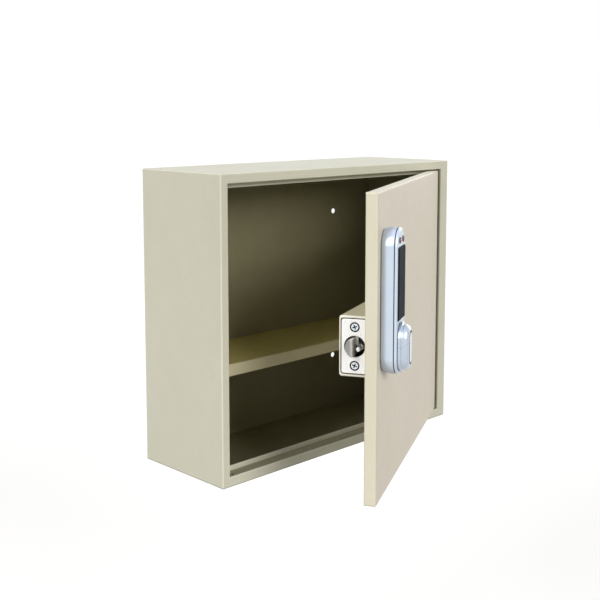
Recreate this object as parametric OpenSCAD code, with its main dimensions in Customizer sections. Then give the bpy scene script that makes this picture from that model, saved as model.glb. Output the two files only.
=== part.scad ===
// Lockable wall cabinet for medicines.
// A welded sheet-steel body with one fixed shelf carries a pan door on a continuous hinge.
// A spring latch in a box behind the door is drawn back by the knob of an electronic lock.
// Origin: centre of the four wall holes, on the back plane. +Y points into the wall, -Y is the front.
// The door is drawn turned open by open_angle; everything on it is laid out as if it were shut.

/* [Cabinet body] */
// Width over the sides
cab_w = 404; // [360:1:480]
// Height over the top and bottom
cab_h = 356; // [320:1:440]
// Depth from the wall to the front face
cab_d = 143; // [125:1:200]
// Thickness of the body steel
body_sheet = 1.2; // [0.8:0.1:1.8]
// Width of the front frame on the lock side
stile_left = 10.6; // [8:0.1:20]
// Width of the front frame on the hinge side
stile_right = 17.2; // [12:0.1:26]
// Height of the front frame above the opening
rail_top = 11.4; // [8:0.1:20]
// Height of the front frame below the opening
rail_bottom = 12; // [8:0.1:20]
// How far the stop flanges sit behind the front face
stop_setback = 14.5; // [14:0.1:18]
// Width of the stop flange on the lock side
stop_left = 6; // [3:0.1:6.5]
// Width of the stop flange on the hinge side
stop_right = 12; // [8:0.1:20]
// Height of the stop flange below the top rail
stop_top = 5.8; // [3:0.1:10]
// Height of the stop flange above the bottom rail
stop_bottom = 6.7; // [5:0.1:14]
// Diameter of the bend relief in the corners of the opening
relief_d = 3; // [1:0.1:4]
// Thickness of the back panel
back_sheet = 1; // [0.8:0.1:1.5]
// Distance between wall holes, side to side
wall_hole_x = 250; // [150:1:300]
// Distance between wall holes, up and down
wall_hole_z = 208; // [120:1:260]
// Diameter of the wall holes
wall_hole_d = 7; // [5:0.1:10]

/* [Shelf] */
// Height of the shelf's top face from the cabinet's centre
shelf_z = -50.3; // [-80:0.1:-40]
// Depth of the shelf from the back panel
shelf_depth = 99; // [60:1:105]
// Height of the turned-down front lip and side flanges
shelf_lip = 14.8; // [8:0.1:25]
// Width of the hem turned back under the lip
shelf_hem = 6; // [3:0.1:12]
// Thickness of the shelf steel
shelf_sheet = 1; // [0.8:0.1:1.6]

/* [Door] */
// How far the door is drawn open
open_angle = 28.5; // [0:0.5:110]
// Thickness of the door
door_t = 13.3; // [12:0.1:14]
// Thickness of the door skin
skin = 1.2; // [0.8:0.1:1.6]
// Width of the hem turned in at the back of the door
door_hem = 9; // [6:0.1:12]
// Thickness of the inner liner
liner_t = 0.9; // [0.7:0.1:1.2]
// Gap beside the free edge of the shut door
gap_free = 2.1; // [1.5:0.1:4]
// Gap over the shut door
gap_top = 1.6; // [1:0.1:4]
// Gap under the shut door
gap_bottom = 1.9; // [1:0.1:6]
// Play around the liner and the other pieces that drop into a frame
drop_in = 0.3; // [0.2:0.05:0.5]
// Width of the channel that stiffens the door behind the lock
channel_w = 50; // [46:1:60]
// Height of that channel
channel_h = 290; // [220:1:300]
// Thickness of the channel steel
channel_sheet = 1; // [0.8:0.1:1.5]
// Width of the channel's feet
channel_foot = 8; // [5:0.5:10]

/* [Hinge] */
// Distance of the hinge axis behind the front face
hinge_setback = 2.4; // [2.3:0.1:2.5]
// Outside diameter of the knuckles
knuckle_d = 4.4; // [4.2:0.1:4.6]
// Length of one knuckle, before it is fitted to the hinge
knuckle_pitch = 12.7; // [10:0.1:26]
// Gap between two knuckles
knuckle_gap = 0.3; // [0.2:0.05:0.6]
// Diameter of the hinge pin
pin_d = 2; // [1.8:0.1:2.2]
// Running clearance between the pin and the knuckles, per side
pin_play = 0.05; // [0.02:0.01:0.08]
// Thickness of the hinge leaves
leaf_t = 1; // [0.8:0.05:1.1]
// Distance from the hinge axis to the frame
hinge_to_frame = 4; // [3.9:0.1:4.6]
// Distance from the hinge axis to the door
hinge_to_door = 2.8; // [2.7:0.05:2.9]
// Distance from the ends of the door to the ends of the hinge
hinge_inset = 3; // [1:0.5:20]

/* [Latch] */
// Height of the latch and of the knob from the cabinet's centre
latch_z = 1.4; // [-5:0.1:20]
// Distance from the door's free edge to the latch face
latch_setback = 16; // [15.8:0.1:18]
// Distance from the door's outer face to the latch centre
latch_depth = 27.7; // [27.5:0.1:28.2]
// Height of the latch face plate
plate_h = 58; // [56:0.1:60]
// Width of the latch face plate
plate_w = 28.6; // [28:0.1:28.6]
// Thickness of the latch face plate
plate_t = 2.4; // [2:0.1:2.6]
// Diameter of the hole that the latch bolt comes through
bolt_hole_d = 22.5; // [22:0.1:24]
// Distance between the face plate's screws
plate_screw_gap = 41.3; // [40:0.1:44]
// Radius of the half-round latch bolt
bolt_r = 9.6; // [9:0.1:10]
// How far the bolt and its bevel stand out of the face plate
bolt_throw = 11; // [9:0.1:11]
// Length of the half-round part of the bolt
bolt_len = 22; // [20:0.1:24]
// Blunt edge left at the tip of the bolt
bolt_tip = 1.4; // [0.8:0.1:3]
// Diameter of the bolt's guide rod
rod_d = 5; // [4:0.1:5]
// Sliding clearance of the rods in their guides, per side
slide_play = 0.1; // [0.05:0.01:0.1]
// Diameter of the guard plunger
plunger_d = 5; // [4:0.1:5]
// How far the guard plunger stands out of the face plate
plunger_out = 5; // [4:0.1:5]
// Thickness of the strike
strike_t = 2.2; // [1.6:0.1:2.4]
// Height of the strike
strike_h = 50; // [30:1:70]
// How far the bolt reaches behind the strike when the door is shut
strike_hold = 5; // [4:0.1:5.4]

/* [Latch cover] */
// Height of the box over the latch
cover_h = 65.4; // [64:0.1:75]
// Length of the box along the door
cover_len = 104; // [95:1:140]
// Distance from the door's outer face to the top of the box at the latch face
cover_near = 44.8; // [44.2:0.1:48]
// The same at the other end of the box
cover_far = 35; // [32:0.1:42]
// Thickness of the box's steel
cover_sheet = 1.2; // [0.8:0.1:1.4]
// Radius of the box's long edges
cover_r = 3; // [2:0.1:5]
// Width of the flanges that hold the box to the liner
cover_foot = 11; // [9.5:0.1:16]

/* [Electronic lock] */
// Width of the lock's housing
lock_w = 40; // [38:0.1:44]
// Height of the lock's housing
lock_h = 155; // [150:0.5:170]
// Distance from the door to the lock's front face
lock_t = 18; // [17.5:0.1:22]
// Wall of the housing
lock_wall = 2.2; // [1.8:0.1:2.4]
// Radius of the housing's front edge
lock_edge = 2.6; // [1:0.1:3]
// Distance from the door's free edge to the lock's centre line
lock_inset = 30; // [29:0.1:34]
// Distance from the knob's axis to the bottom of the housing
lock_drop = 28.9; // [27:0.1:32]
// Thickness of the gasket under the lock
gasket_t = 1; // [0.6:0.1:1.5]
// Thickness of the lock's back plate
back_t = 1.5; // [1:0.1:2]
// Width of the dark reader panel
panel_w = 33; // [28:0.1:34]
// Distance from the lamps down to the top of the reader panel
panel_drop = 6.9; // [5:0.1:12]
// Distance from the knob's axis to the bottom of the reader panel
panel_rise = 29.2; // [28.8:0.1:34]
// How far the reader panel stands out of the housing
panel_out = 1.4; // [0.6:0.1:2]
// Distance from the top of the housing down to the lamps
lamp_inset = 13; // [10:0.1:20]
// Distance between the two lamps
lamp_gap = 16; // [13:0.1:18]
// Diameter of a lamp's bezel
bezel_d = 7; // [5:0.1:8]
// Diameter of a lamp
lamp_d = 4; // [3:0.1:4.6]
// Width of the knob
knob_w = 34; // [30:0.1:36]
// Height of the knob
knob_h = 53; // [48:0.1:54]
// Distance from the housing to the knob's front face
knob_t = 11; // [9:0.1:14]
// Width of the step around the knob
knob_step = 2.3; // [1.5:0.1:3]
// Width of the plain badge on the knob
badge_w = 14; // [10:0.1:16]
// Height of the plain badge on the knob
badge_h = 36; // [28:0.1:38]
// Diameter of the spindle
spindle_d = 8; // [7:0.1:8]
// Running clearance around the spindle, per side
spindle_play = 0.05; // [0.02:0.01:0.08]
// Diameter of the locking wheel on the spindle
wheel_d = 22; // [20:0.1:24]
// Diameter of the blocking pin
block_d = 3; // [2.5:0.1:3]
// Travel of the blocking pin
block_travel = 3.5; // [3:0.1:3.5]

/* [Hidden] */
$fn = 48;
eps = 0.01;
clear = 0.4; // gap between pieces that pass each other
through = 80; // length of cuts that run right through
paint = "#CFCAB4";
dark = "#2B2E33";
zinc = "#C9CBCC";
satin = "#BCC8D6";

left = -cab_w / 2;
right = cab_w / 2;
top = cab_h / 2;
bottom = -cab_h / 2;
front = -cab_d;
open_left = left + stile_left;
open_right = right - stile_right;
open_top = top - rail_top;
open_bottom = bottom + rail_bottom;
stop_y = front + stop_setback;
shelf_front = -back_sheet - shelf_depth;

hinge_x = open_right - hinge_to_frame;
hinge_y = front + hinge_setback;
door_left = open_left + gap_free;
door_right = hinge_x - hinge_to_door;
door_top = open_top - gap_top;
door_bottom = open_bottom + gap_bottom;
door_back = front + door_t;
liner_y = door_back - skin;
hinge_bottom = door_bottom + hinge_inset;
hinge_len = door_top - door_bottom - 2 * hinge_inset;
knuckles = 2 * round(hinge_len / knuckle_pitch / 2) + 1;
pitch = hinge_len / knuckles;
pin_head = 0.8; // height of the peened heads

lock_x = door_left + lock_inset;
hub_bore = spindle_d + 2 * spindle_play;
body_rise = lock_h / 2 - lock_drop;
wheel_z = gasket_t + back_t + 2.5;
wheel_t = 4.5;
channel_shift = 5; // how far the channel's middle lies from the lock's centre line
board_t = 1.6;
board_margin = 4;
board_side = 2.5;
board_clip = 13;
board_z = lock_t - lock_wall - board_t;
cell_d = 10.3;
cell_len = 43.5;
tray_wall = 1;
tray_side = 9; // height of the tray's end walls
tray_play = 1; // room at each end of the cells
tray_rim = 1.3; // width of the tray beyond the cells
cell_gap = 0.4;
cell_nub = 0.8;
cell_nub_d = 3.8;
lamp_y = lock_h - lock_drop - lamp_inset;
panel_h = lamp_y - panel_drop - panel_rise;
screw_low = -lock_drop + 9; // heights of the lock's fixing screws from the knob's axis
screw_high = panel_rise + panel_h - 3;
screw_d = 3.8;
lock_head_d = 7.5;
lock_head_t = 2.4;
tray_y = screw_high - 31;
block_z = wheel_z + wheel_t / 2;
block_rest = wheel_d / 2 + 0.5; // inner end of the blocking pin while it lets the wheel turn
actuator_y = block_rest + 6;
boss_d = 8; // bosses for the lock's screws

face_s = latch_setback;
case_s = face_s + plate_t;
case_t = 2;
bolt_flat = latch_depth - 0.2;
crank_r = bolt_throw / sqrt(2);
crank_pin = 4;
cam_n = door_t + 3.2; // near face of the cam, measured from the door's outer face
cam_t = 3;
spindle_in = cam_n + cam_t;
spindle_out = lock_t + clear + 7;
yoke_s = lock_inset - crank_r / sqrt(2);
yoke_t = 3.4;
slot_play = 0.5;
plunger_n = latch_depth - 4.4;
plunger_z = -2;
collar_r = 3.2;
post_s = case_s + case_t;
post_t = 3;
tab_s = 38;
plate_head = 9.6; // countersunk heads of the face plate's screws
tab_t = 1.2;
guide_s = 52;
guide_t = 1.5;
guide_half = 8;
guide_over = 6;
tab_half = 3.5;
post_half = 3;
rod_n = bolt_flat + 4.5;
base_n = door_t - skin; // face of the liner that the latch stands on
base_t = 1.2;
cover_screw_d = 3.2;
cover_head_d = 8;
cover_head_t = 2.2;
base_h = 44; // height of the latch's sheet foot
guide_len = 15; // length of the bolt's half-round guide
guide_wall = 3.4;
strike_foot = 30;
pad_h = 20; // door buffers
pad_z = 100;

// A box from its lowest to its highest corner
module span(low, high) {
    translate(low) cube(high - low);
}

// Turns what is laid out on the shut door to where the open door carries it
module on_door() {
    translate([hinge_x, hinge_y, 0])
        rotate([0, 0, open_angle])
            translate([-hinge_x, -hinge_y, 0]) children();
}

// Latch axes: X along the door from its free edge, Y inwards from its outer face, Z up from the latch
module at_latch() {
    on_door() translate([door_left, front, latch_z]) children();
}

// Lock axes: X to the right, Y up from the knob's axis, Z outwards from the door's outer face
module at_lock_flat() {
    translate([lock_x, front, latch_z]) rotate([90, 0, 0]) children();
}

module at_lock() {
    on_door() at_lock_flat() children();
}

// A flat outline with round ends
module capsule(w, h) {
    square([w, h - w], center = true);
    for (side = [-1, 1])
        translate([0, side * (h - w) / 2]) circle(d = w);
}

// A plate with round ends and a rounded edge of radius r on its upper face
module pebble(w, h, t, r) {
    module half() {
        square([w / 2, t - r]);
        square([w / 2 - r, t]);
        translate([w / 2 - r, t - r]) intersection() {
            circle(r);
            square(r);
        }
    }
    rotate([90, 0, 0]) linear_extrude(h - w, center = true) {
        half();
        mirror([1, 0]) half();
    }
    for (side = [-1, 1])
        translate([0, side * (h - w) / 2, 0]) rotate_extrude() half();
}

// A rod along X from a to b
module rod(a, b, d) {
    translate([a, 0, 0]) rotate([0, 90, 0]) cylinder(d = d, h = b - a);
}

// A coil of wire along X from a to b, of outside diameter d
module coil(a, b, d, wire, turns) {
    ring = 12; // rings to a turn
    sides = 6;
    steps = ring * turns;
    r = (d - wire) / 2;
    run = b - a - wire;
    points = [for (i = [0 : steps], k = [0 : sides - 1])
        let (turn = 360 * i / ring, around = 360 * k / sides, out = r + wire / 2 * cos(around))
        [a + wire / 2 + run * i / steps + wire / 2 * sin(around), out * cos(turn), out * sin(turn)]];
    walls = [for (i = [0 : steps - 1], k = [0 : sides - 1])
        let (next = (k + 1) % sides)
        [i * sides + k, i * sides + next, (i + 1) * sides + next, (i + 1) * sides + k]];
    first = [for (k = [sides - 1 : -1 : 0]) k];
    last = [for (k = [0 : sides - 1]) steps * sides + k];
    polyhedron(points, concat([first], walls, [last]), convexity = 10);
}

module wall_holes() {
    for (x = [-1, 1], z = [-1, 1])
        translate([x * wall_hole_x / 2, 0, z * wall_hole_z / 2])
            rotate([90, 0, 0]) cylinder(d = wall_hole_d, h = 20, center = true);
}

module body_shell() {
    color(paint) difference() {
        union() {
            // sides, top and bottom
            difference() {
                span([left, front, bottom], [right, 0, top]);
                span([left + body_sheet, front - 1, bottom + body_sheet],
                     [right - body_sheet, 1, top - body_sheet]);
            }
            // front frame
            difference() {
                span([left, front, bottom], [right, front + body_sheet, top]);
                span([open_left, front - 1, open_bottom], [open_right, front + 5, open_top]);
            }
            // flanges turned back round the opening
            difference() {
                span([open_left - body_sheet, front, open_bottom - body_sheet],
                     [open_right + body_sheet, stop_y + body_sheet, open_top + body_sheet]);
                span([open_left, front - 1, open_bottom], [open_right, 0, open_top]);
            }
            // flanges that the door stops against
            difference() {
                span([open_left - eps, stop_y, open_bottom - eps],
                     [open_right + eps, stop_y + body_sheet, open_top + eps]);
                span([open_left + stop_left, front, open_bottom + stop_bottom],
                     [open_right - stop_right, 0, open_top - stop_top]);
            }
        }
        // bend reliefs in the corners of the opening
        for (x = [open_left, open_right], z = [open_bottom, open_top])
            translate([x, front + body_sheet, z])
                rotate([-90, 0, 0]) cylinder(d = relief_d, h = stop_setback - body_sheet);
    }
}

module back_panel() {
    color(paint) difference() {
        span([left + body_sheet, -back_sheet, bottom + body_sheet],
             [right - body_sheet, 0, top - body_sheet]);
        wall_holes();
    }
}

module shelf() {
    x0 = left + body_sheet;
    x1 = right - body_sheet;
    y1 = -back_sheet;
    low = shelf_z - shelf_lip;
    color(paint) {
        span([x0, shelf_front, shelf_z - shelf_sheet], [x1, y1, shelf_z]);
        span([x0, shelf_front, low], [x1, shelf_front + shelf_sheet, shelf_z]);
        span([x0, shelf_front, low], [x1, shelf_front + shelf_hem, low + shelf_sheet]);
        span([x0, shelf_front, low], [x0 + shelf_sheet, y1, shelf_z]);
        span([x1 - shelf_sheet, shelf_front, low], [x1, y1, shelf_z]);
    }
}

// Lip that the latch bolt catches behind, on a foot welded to the side
module strike() {
    x0 = left + body_sheet;
    y1 = front + bolt_flat - clear;
    y0 = y1 - strike_t;
    x1 = door_left + latch_setback - bolt_throw + strike_hold;
    z0 = latch_z - strike_h / 2;
    color(zinc) {
        span([x0, y0, z0], [x1, y1, z0 + strike_h]);
        span([x0, y0, z0], [x0 + strike_t, y0 + strike_foot, z0 + strike_h]);
    }
}

// Soft pads on the stop flange, beside the door's free edge
module door_buffers() {
    color("#4A4A45")
        for (z = [-1, 1])
            translate([0, 0, z * pad_z])
                span([open_left + 0.5, door_back + drop_in, -pad_h / 2],
                     [open_left + stop_left - 0.5, stop_y, pad_h / 2]);
}

// Knuckles with their tangent webs; side is 1 for those of the frame and 0 for those of the door
module knuckle_row(side) {
    reach = side == 1 ? hinge_to_frame : -hinge_to_door;
    r = knuckle_d / 2;
    for (i = [1 - side : 2 : knuckles - 1])
        translate([hinge_x, hinge_y, hinge_bottom + i * pitch + knuckle_gap / 2]) {
            cylinder(r = r, h = pitch - knuckle_gap);
            translate([min(reach, 0), r - leaf_t, 0])
                cube([abs(reach), leaf_t, pitch - knuckle_gap]);
        }
}

module hinge_bore() {
    translate([hinge_x, hinge_y, hinge_bottom - 5])
        cylinder(d = pin_d + 2 * pin_play, h = hinge_len + 10);
}

module hinge_frame_leaf() {
    color(dark) difference() {
        union() {
            knuckle_row(1);
            span([open_right - leaf_t, hinge_y + knuckle_d / 2 - leaf_t, hinge_bottom],
                 [open_right, stop_y - clear, hinge_bottom + hinge_len]);
        }
        hinge_bore();
    }
}

module hinge_door_leaf() {
    start = knuckle_d / 2 - leaf_t / 3;
    color(dark) on_door() difference() {
        union() {
            knuckle_row(0);
            span([door_right, hinge_y + start, hinge_bottom],
                 [door_right + leaf_t, door_back, hinge_bottom + hinge_len]);
        }
        hinge_bore();
    }
}

module hinge_pin() {
    color(dark) translate([hinge_x, hinge_y, hinge_bottom - pin_head]) {
        cylinder(d = pin_d, h = hinge_len + 2 * pin_head);
        for (z = [0, hinge_len + pin_head])
            translate([0, 0, z]) cylinder(d = knuckle_d - 0.6, h = pin_head);
    }
}

// Everything that runs through the door for the lock
module lock_passages(spindle_hole) {
    at_lock_flat() {
        cylinder(d = spindle_hole, h = through, center = true);
        for (y = [screw_low, screw_high])
            translate([0, y, 0]) cylinder(d = screw_d + 2 * drop_in, h = through, center = true);
    }
}

module door_pan() {
    color(paint) on_door() difference() {
        span([door_left, front, door_bottom], [door_right, door_back, door_top]);
        span([door_left + skin, front + skin, door_bottom + skin],
             [door_right - skin, door_back - skin, door_top - skin]);
        span([door_left + door_hem, front + skin, door_bottom + door_hem],
             [door_right - door_hem, door_back + 1, door_top - door_hem]);
        lock_passages(spindle_d + 4);
    }
}

module door_liner() {
    edge = skin + drop_in;
    color(paint) on_door() difference() {
        span([door_left + edge, liner_y - liner_t, door_bottom + edge],
             [door_right - edge, liner_y, door_top - edge]);
        lock_passages(spindle_d + 2);
        cover_screw_places() cylinder(d = cover_screw_d + 2 * slide_play, h = through, center = true);
    }
}

// Channel between skin and liner that takes the clamp of the lock's screws
module lock_channel() {
    y0 = front + skin;
    y1 = liner_y - liner_t;
    x0 = lock_x - channel_w / 2 + channel_shift;
    x1 = x0 + channel_w;
    z0 = -channel_h / 2;
    z1 = channel_h / 2;
    color(zinc) on_door() difference() {
        union() {
            span([x0, y1 - channel_sheet, z0], [x1, y1, z1]);
            for (x = [x0, x1 - channel_sheet])
                span([x, y0, z0], [x + channel_sheet, y1, z1]);
            span([x1 - eps, y0, z0], [x1 + channel_foot, y0 + channel_sheet, z1]);
        }
        lock_passages(spindle_d + 4);
        cover_screw_places() cylinder(d = cover_screw_d + 7 * clear, h = through, center = true);
    }
}

module cover_screw_places() {
    z = cover_h / 2 + cover_foot / 2;
    for (s = [cover_foot * 1.5, cover_len - cover_foot], side = [-1, 1])
        translate([door_left + latch_setback + s, liner_y, latch_z + side * z])
            rotate([-90, 0, 0]) children();
}

// Solid with two rounded long edges that fits the outside or, shrunk, the inside of the cover
module cover_block(t) {
    r = cover_r - t + eps;
    low = base_n - (t > 0 ? 1 : 0);
    hull() {
        for (end = [0, 1]) {
            s = end == 0 ? face_s + t : face_s + cover_len - t;
            n = (end == 0 ? cover_near : cover_far) - t;
            translate([s - end * eps, low, -cover_h / 2 + t]) cube([eps, 1, cover_h - 2 * t]);
            for (z = [-1, 1])
                translate([s - end * eps, n - r, z * (cover_h / 2 - t - r)])
                    rotate([0, 90, 0]) cylinder(r = r, h = eps, $fn = 32);
        }
    }
}

module latch_cover() {
    gap = drop_in;
    color(paint) at_latch() {
        difference() {
            cover_block(0);
            cover_block(cover_sheet);
            span([face_s - 1, latch_depth - plate_w / 2 - gap, -plate_h / 2 - gap],
                 [face_s + cover_sheet + 1, latch_depth + plate_w / 2 + gap, plate_h / 2 + gap]);
        }
    }
    color(paint) on_door() difference() {
        for (side = [-1, 1])
            translate([door_left + latch_setback + cover_foot / 2, liner_y,
                       latch_z + side * (cover_h / 2 + cover_foot / 2) - cover_foot / 2])
                cube([cover_len - cover_foot, cover_sheet, cover_foot]);
        cover_screw_places() cylinder(d = cover_screw_d + 3 * clear, h = through, center = true);
    }
}

// Pan head with a cross recess, its underside at the origin and its shank along -Z
module cross_screw(head_d, head_t, shank_d, shank_len) {
    difference() {
        union() {
            cylinder(d = head_d, h = head_t);
            translate([0, 0, -shank_len]) cylinder(d = shank_d, h = shank_len);
        }
        cross_recess(head_d * 0.55, head_t);
    }
}

module cross_recess(w, top_z) {
    for (a = [0, 90])
        rotate([0, 0, a]) translate([-w / 2, -w / 10, top_z - 1.1]) cube([w, w / 5, 2]);
}

module cover_screws() {
    color(zinc) on_door() cover_screw_places()
        translate([0, 0, cover_sheet])
            cross_screw(cover_head_d, cover_head_t, cover_screw_d, cover_sheet + liner_t + 3);
}

// Sheet foot of the latch with the rear guides of its two rods
module latch_base() {
    half = base_h / 2;
    spindle_room = spindle_d + 2 * clear;
    color(zinc) at_latch() difference() {
        union() {
            span([face_s + cover_sheet + clear, base_n, -half], [guide_s + guide_t, base_n + base_t, half]);
            span([guide_s, base_n, -guide_half], [guide_s + guide_t, rod_n + guide_over, guide_half]);
            span([tab_s, base_n, plunger_z - tab_half],
                 [tab_s + tab_t, plunger_n + tab_half, plunger_z + tab_half]);
        }
        translate([0, rod_n, 0]) rod(guide_s - 1, guide_s + guide_t + 1, rod_d + 2 * slide_play);
        translate([0, plunger_n, plunger_z])
            rod(tab_s - 1, tab_s + tab_t + 1, plunger_d / 2 + 2 * slide_play);
        translate([lock_inset, base_n, 0])
            rotate([90, 0, 0]) cylinder(d = spindle_room, h = 10, center = true);
        translate([lock_inset, base_n, screw_low])
            rotate([90, 0, 0]) cylinder(d = lock_head_d + 2 * clear + 0.2, h = 10, center = true);
    }
}

// Cast front of the latch: screw seat, half-round guide for the bolt and post for the plunger
module latch_case() {
    n0 = base_n + base_t;
    n1 = latch_depth + plate_w / 2 - 0.2;
    color(zinc) at_latch() difference() {
        union() {
            difference() {
                span([case_s, n0, -plate_h / 2 + 2], [case_s + case_t, n1, plate_h / 2 - 2]);
                translate([0, latch_depth, 0]) rod(case_s - 1, case_s + case_t + 1, bolt_hole_d);
            }
            span([case_s + case_t - eps, bolt_flat + clear, -bolt_r - guide_wall],
                 [case_s + case_t + guide_len, n1, bolt_r + guide_wall]);
            span([post_s - eps, n0, plunger_z - post_half],
                 [post_s + post_t, plunger_n + tab_half, plunger_z + post_half]);
        }
        translate([0, bolt_flat, 0])
            rod(case_s + case_t - 0.5, case_s + case_t + guide_len + 1, 2 * (bolt_r + drop_in));
        translate([0, plunger_n, plunger_z]) rod(post_s - 2, post_s + post_t + 1, plunger_d + 2 * slide_play);
        for (z = [-1, 1])
            translate([0, latch_depth, z * plate_screw_gap / 2]) rod(case_s - 1, case_s + case_t + 1, 4);
    }
}

module face_plate() {
    color(zinc) at_latch() difference() {
        span([face_s, latch_depth - plate_w / 2, -plate_h / 2],
             [face_s + plate_t, latch_depth + plate_w / 2, plate_h / 2]);
        translate([0, latch_depth, 0]) rod(face_s - 1, face_s + plate_t + 1, bolt_hole_d);
        for (z = [-1, 1])
            translate([face_s, latch_depth, z * plate_screw_gap / 2]) rotate([0, 90, 0]) {
                translate([0, 0, -1]) cylinder(d = 4.4, h = plate_t + 2);
                translate([0, 0, -eps]) cylinder(d1 = plate_head + 0.8, d2 = plate_head - 3, h = 1.8);
            }
    }
}

module face_plate_screws() {
    color(zinc) at_latch()
        for (z = [-1, 1])
            translate([face_s, latch_depth, z * plate_screw_gap / 2]) rotate([0, 90, 0])
                difference() {
                    union() {
                        cylinder(d1 = plate_head, d2 = 3.8, h = 2);
                        cylinder(d = 3.8, h = plate_t + case_t + 1.5);
                    }
                    translate([0, 0, -0.9]) cross_recess(5, 2);
                }
}

// Half-round bolt bevelled towards the shutting side, its yoke for the crank and its guide rod
module latch_bolt() {
    tip_s = face_s - bolt_throw;
    rear_s = tip_s + bolt_len;
    low = crank_r / sqrt(2) - crank_pin / 2 - slot_play;
    high = crank_r + crank_pin / 2 + slot_play;
    bar = 1.4;
    half = crank_pin / 2 + slot_play;
    color(zinc) at_latch() {
        difference() {
            translate([0, bolt_flat, 0]) rod(tip_s, rear_s, 2 * bolt_r);
            span([0, 0, -20], [rear_s + 1, bolt_flat, 20]);
            translate([0, 0, -20]) linear_extrude(40)
                polygon([[tip_s - 1, bolt_flat + bolt_tip], [face_s + 0.5, bolt_flat + bolt_r + 0.1],
                         [face_s + 0.5, bolt_flat + 20], [tip_s - 1, bolt_flat + 20]]);
        }
        // yoke
        difference() {
            span([yoke_s - half - bar, bolt_flat - yoke_t, low - bar],
                 [yoke_s + half + bar + 1, bolt_flat + eps, high + bar]);
            span([yoke_s - half, bolt_flat - yoke_t - 1, low], [yoke_s + half, bolt_flat + 1, high]);
        }
        translate([0, rod_n, 0]) rod(rear_s - 1, guide_s + bolt_throw - 1, rod_d);
    }
}

module bolt_spring() {
    rear_s = face_s - bolt_throw + bolt_len;
    color(zinc) at_latch() translate([0, rod_n, 0])
        coil(rear_s + drop_in, guide_s - drop_in, rod_d + 2.4, 0.8, 9);
}

module guard_plunger() {
    tip_s = face_s - plunger_out;
    collar_s = post_s + post_t + drop_in;
    color(zinc) at_latch() translate([0, plunger_n, plunger_z]) {
        rod(tip_s + 1, collar_s + 1, plunger_d);
        rod(tip_s, tip_s + 1 + eps, plunger_d - 1.6);
        rod(collar_s, collar_s + 1, 2 * collar_r);
        rod(collar_s, tab_s + tab_t + plunger_out, plunger_d / 2);
    }
}

module plunger_spring() {
    color(zinc) at_latch() translate([0, plunger_n, plunger_z])
        coil(post_s + post_t + 2 * drop_in + 1, tab_s - drop_in, plunger_d / 2 + 2, 0.6, 8);
}

module lock_gasket() {
    color(dark) at_lock() difference() {
        translate([0, body_rise, 0]) linear_extrude(gasket_t) capsule(lock_w - 1, lock_h - 1);
        translate([0, body_rise, -1]) linear_extrude(gasket_t + 2) capsule(lock_w - 9, lock_h - 9);
    }
}

module lock_back_plate() {
    inset = 2 * (lock_wall + drop_in);
    color(zinc) at_lock() difference() {
        translate([0, body_rise, gasket_t]) linear_extrude(back_t) capsule(lock_w - inset, lock_h - inset);
        cylinder(d = hub_bore, h = 20, center = true);
        for (y = [screw_low, screw_high])
            translate([0, y, 0]) cylinder(d = screw_d + 2 * drop_in, h = 20, center = true);
    }
}

// Screws from inside the door into the bosses of the housing
module lock_screws() {
    color(zinc) at_lock()
        for (y = [screw_low, screw_high])
            translate([0, y, -base_n]) mirror([0, 0, 1])
                cross_screw(lock_head_d, lock_head_t, screw_d - 1, base_n + gasket_t + back_t + 6);
}

module lock_housing() {
    inner_w = lock_w - 2 * lock_wall;
    inner_h = lock_h - 2 * lock_wall;
    depth = lock_t - gasket_t;
    color(satin) at_lock() difference() {
        union() {
            difference() {
                translate([0, body_rise, gasket_t]) pebble(lock_w, lock_h, depth, lock_edge);
                translate([0, body_rise, gasket_t - 1])
                    linear_extrude(depth - lock_wall + 1) capsule(inner_w, inner_h);
            }
            for (y = [screw_low, screw_high])
                translate([0, y, gasket_t + back_t])
                    cylinder(d = boss_d, h = depth - back_t - lock_wall + 0.5);
        }
        cylinder(d = hub_bore, h = through, center = true);
        for (y = [screw_low, screw_high])
            translate([0, y, 0]) cylinder(d = screw_d - 0.8, h = gasket_t + back_t + 8);
        for (side = [-1, 1])
            translate([side * lamp_gap / 2, lamp_y, 0]) cylinder(d = bezel_d - 1.4, h = through);
        translate([0, panel_rise + panel_h / 2, lock_t - 1 + 5])
            cube([panel_w + 2 * 0.2, panel_h + 2 * 0.2, 10], center = true);
    }
}

// Dark plate with chamfered edges, seated in a pocket of the housing
module reader_panel() {
    t = panel_out + 1;
    bevel = 1.2;
    module side_on(w) {
        translate([-w / 2, 0])
            polygon([[0, 0], [w, 0], [w, t - bevel], [w - bevel, t], [bevel, t], [0, t - bevel]]);
    }
    color(dark) at_lock() translate([0, panel_rise + panel_h / 2, lock_t - 1]) intersection() {
        rotate([90, 0, 0]) linear_extrude(panel_h, center = true) side_on(panel_w);
        rotate([90, 0, 90]) linear_extrude(panel_w, center = true) side_on(panel_h);
    }
}

module at_lamp(side) {
    at_lock() translate([side * lamp_gap / 2, lamp_y, 0]) children();
}

module lamp_bezels() {
    color(dark)
        for (side = [-1, 1]) at_lamp(side) difference() {
            union() {
                translate([0, 0, lock_t]) cylinder(d = bezel_d, h = 0.8);
                translate([0, 0, lock_t - lock_wall]) cylinder(d = bezel_d - 1.6, h = lock_wall + eps);
            }
            cylinder(d = lamp_d + 0.2, h = through);
        }
}

module lamp() {
    translate([0, 0, lock_t - lock_wall]) cylinder(d = lamp_d, h = lock_wall + 0.4);
    intersection() {
        translate([0, 0, lock_t + 0.4]) sphere(d = lamp_d);
        translate([0, 0, lock_t - 0.1]) cylinder(d = lamp_d, h = 1.6);
    }
}

module red_lamp() {
    color("#B3392E") at_lamp(-1) lamp();
}

module blue_lamp() {
    color("#3557B0") at_lamp(1) lamp();
}

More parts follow.
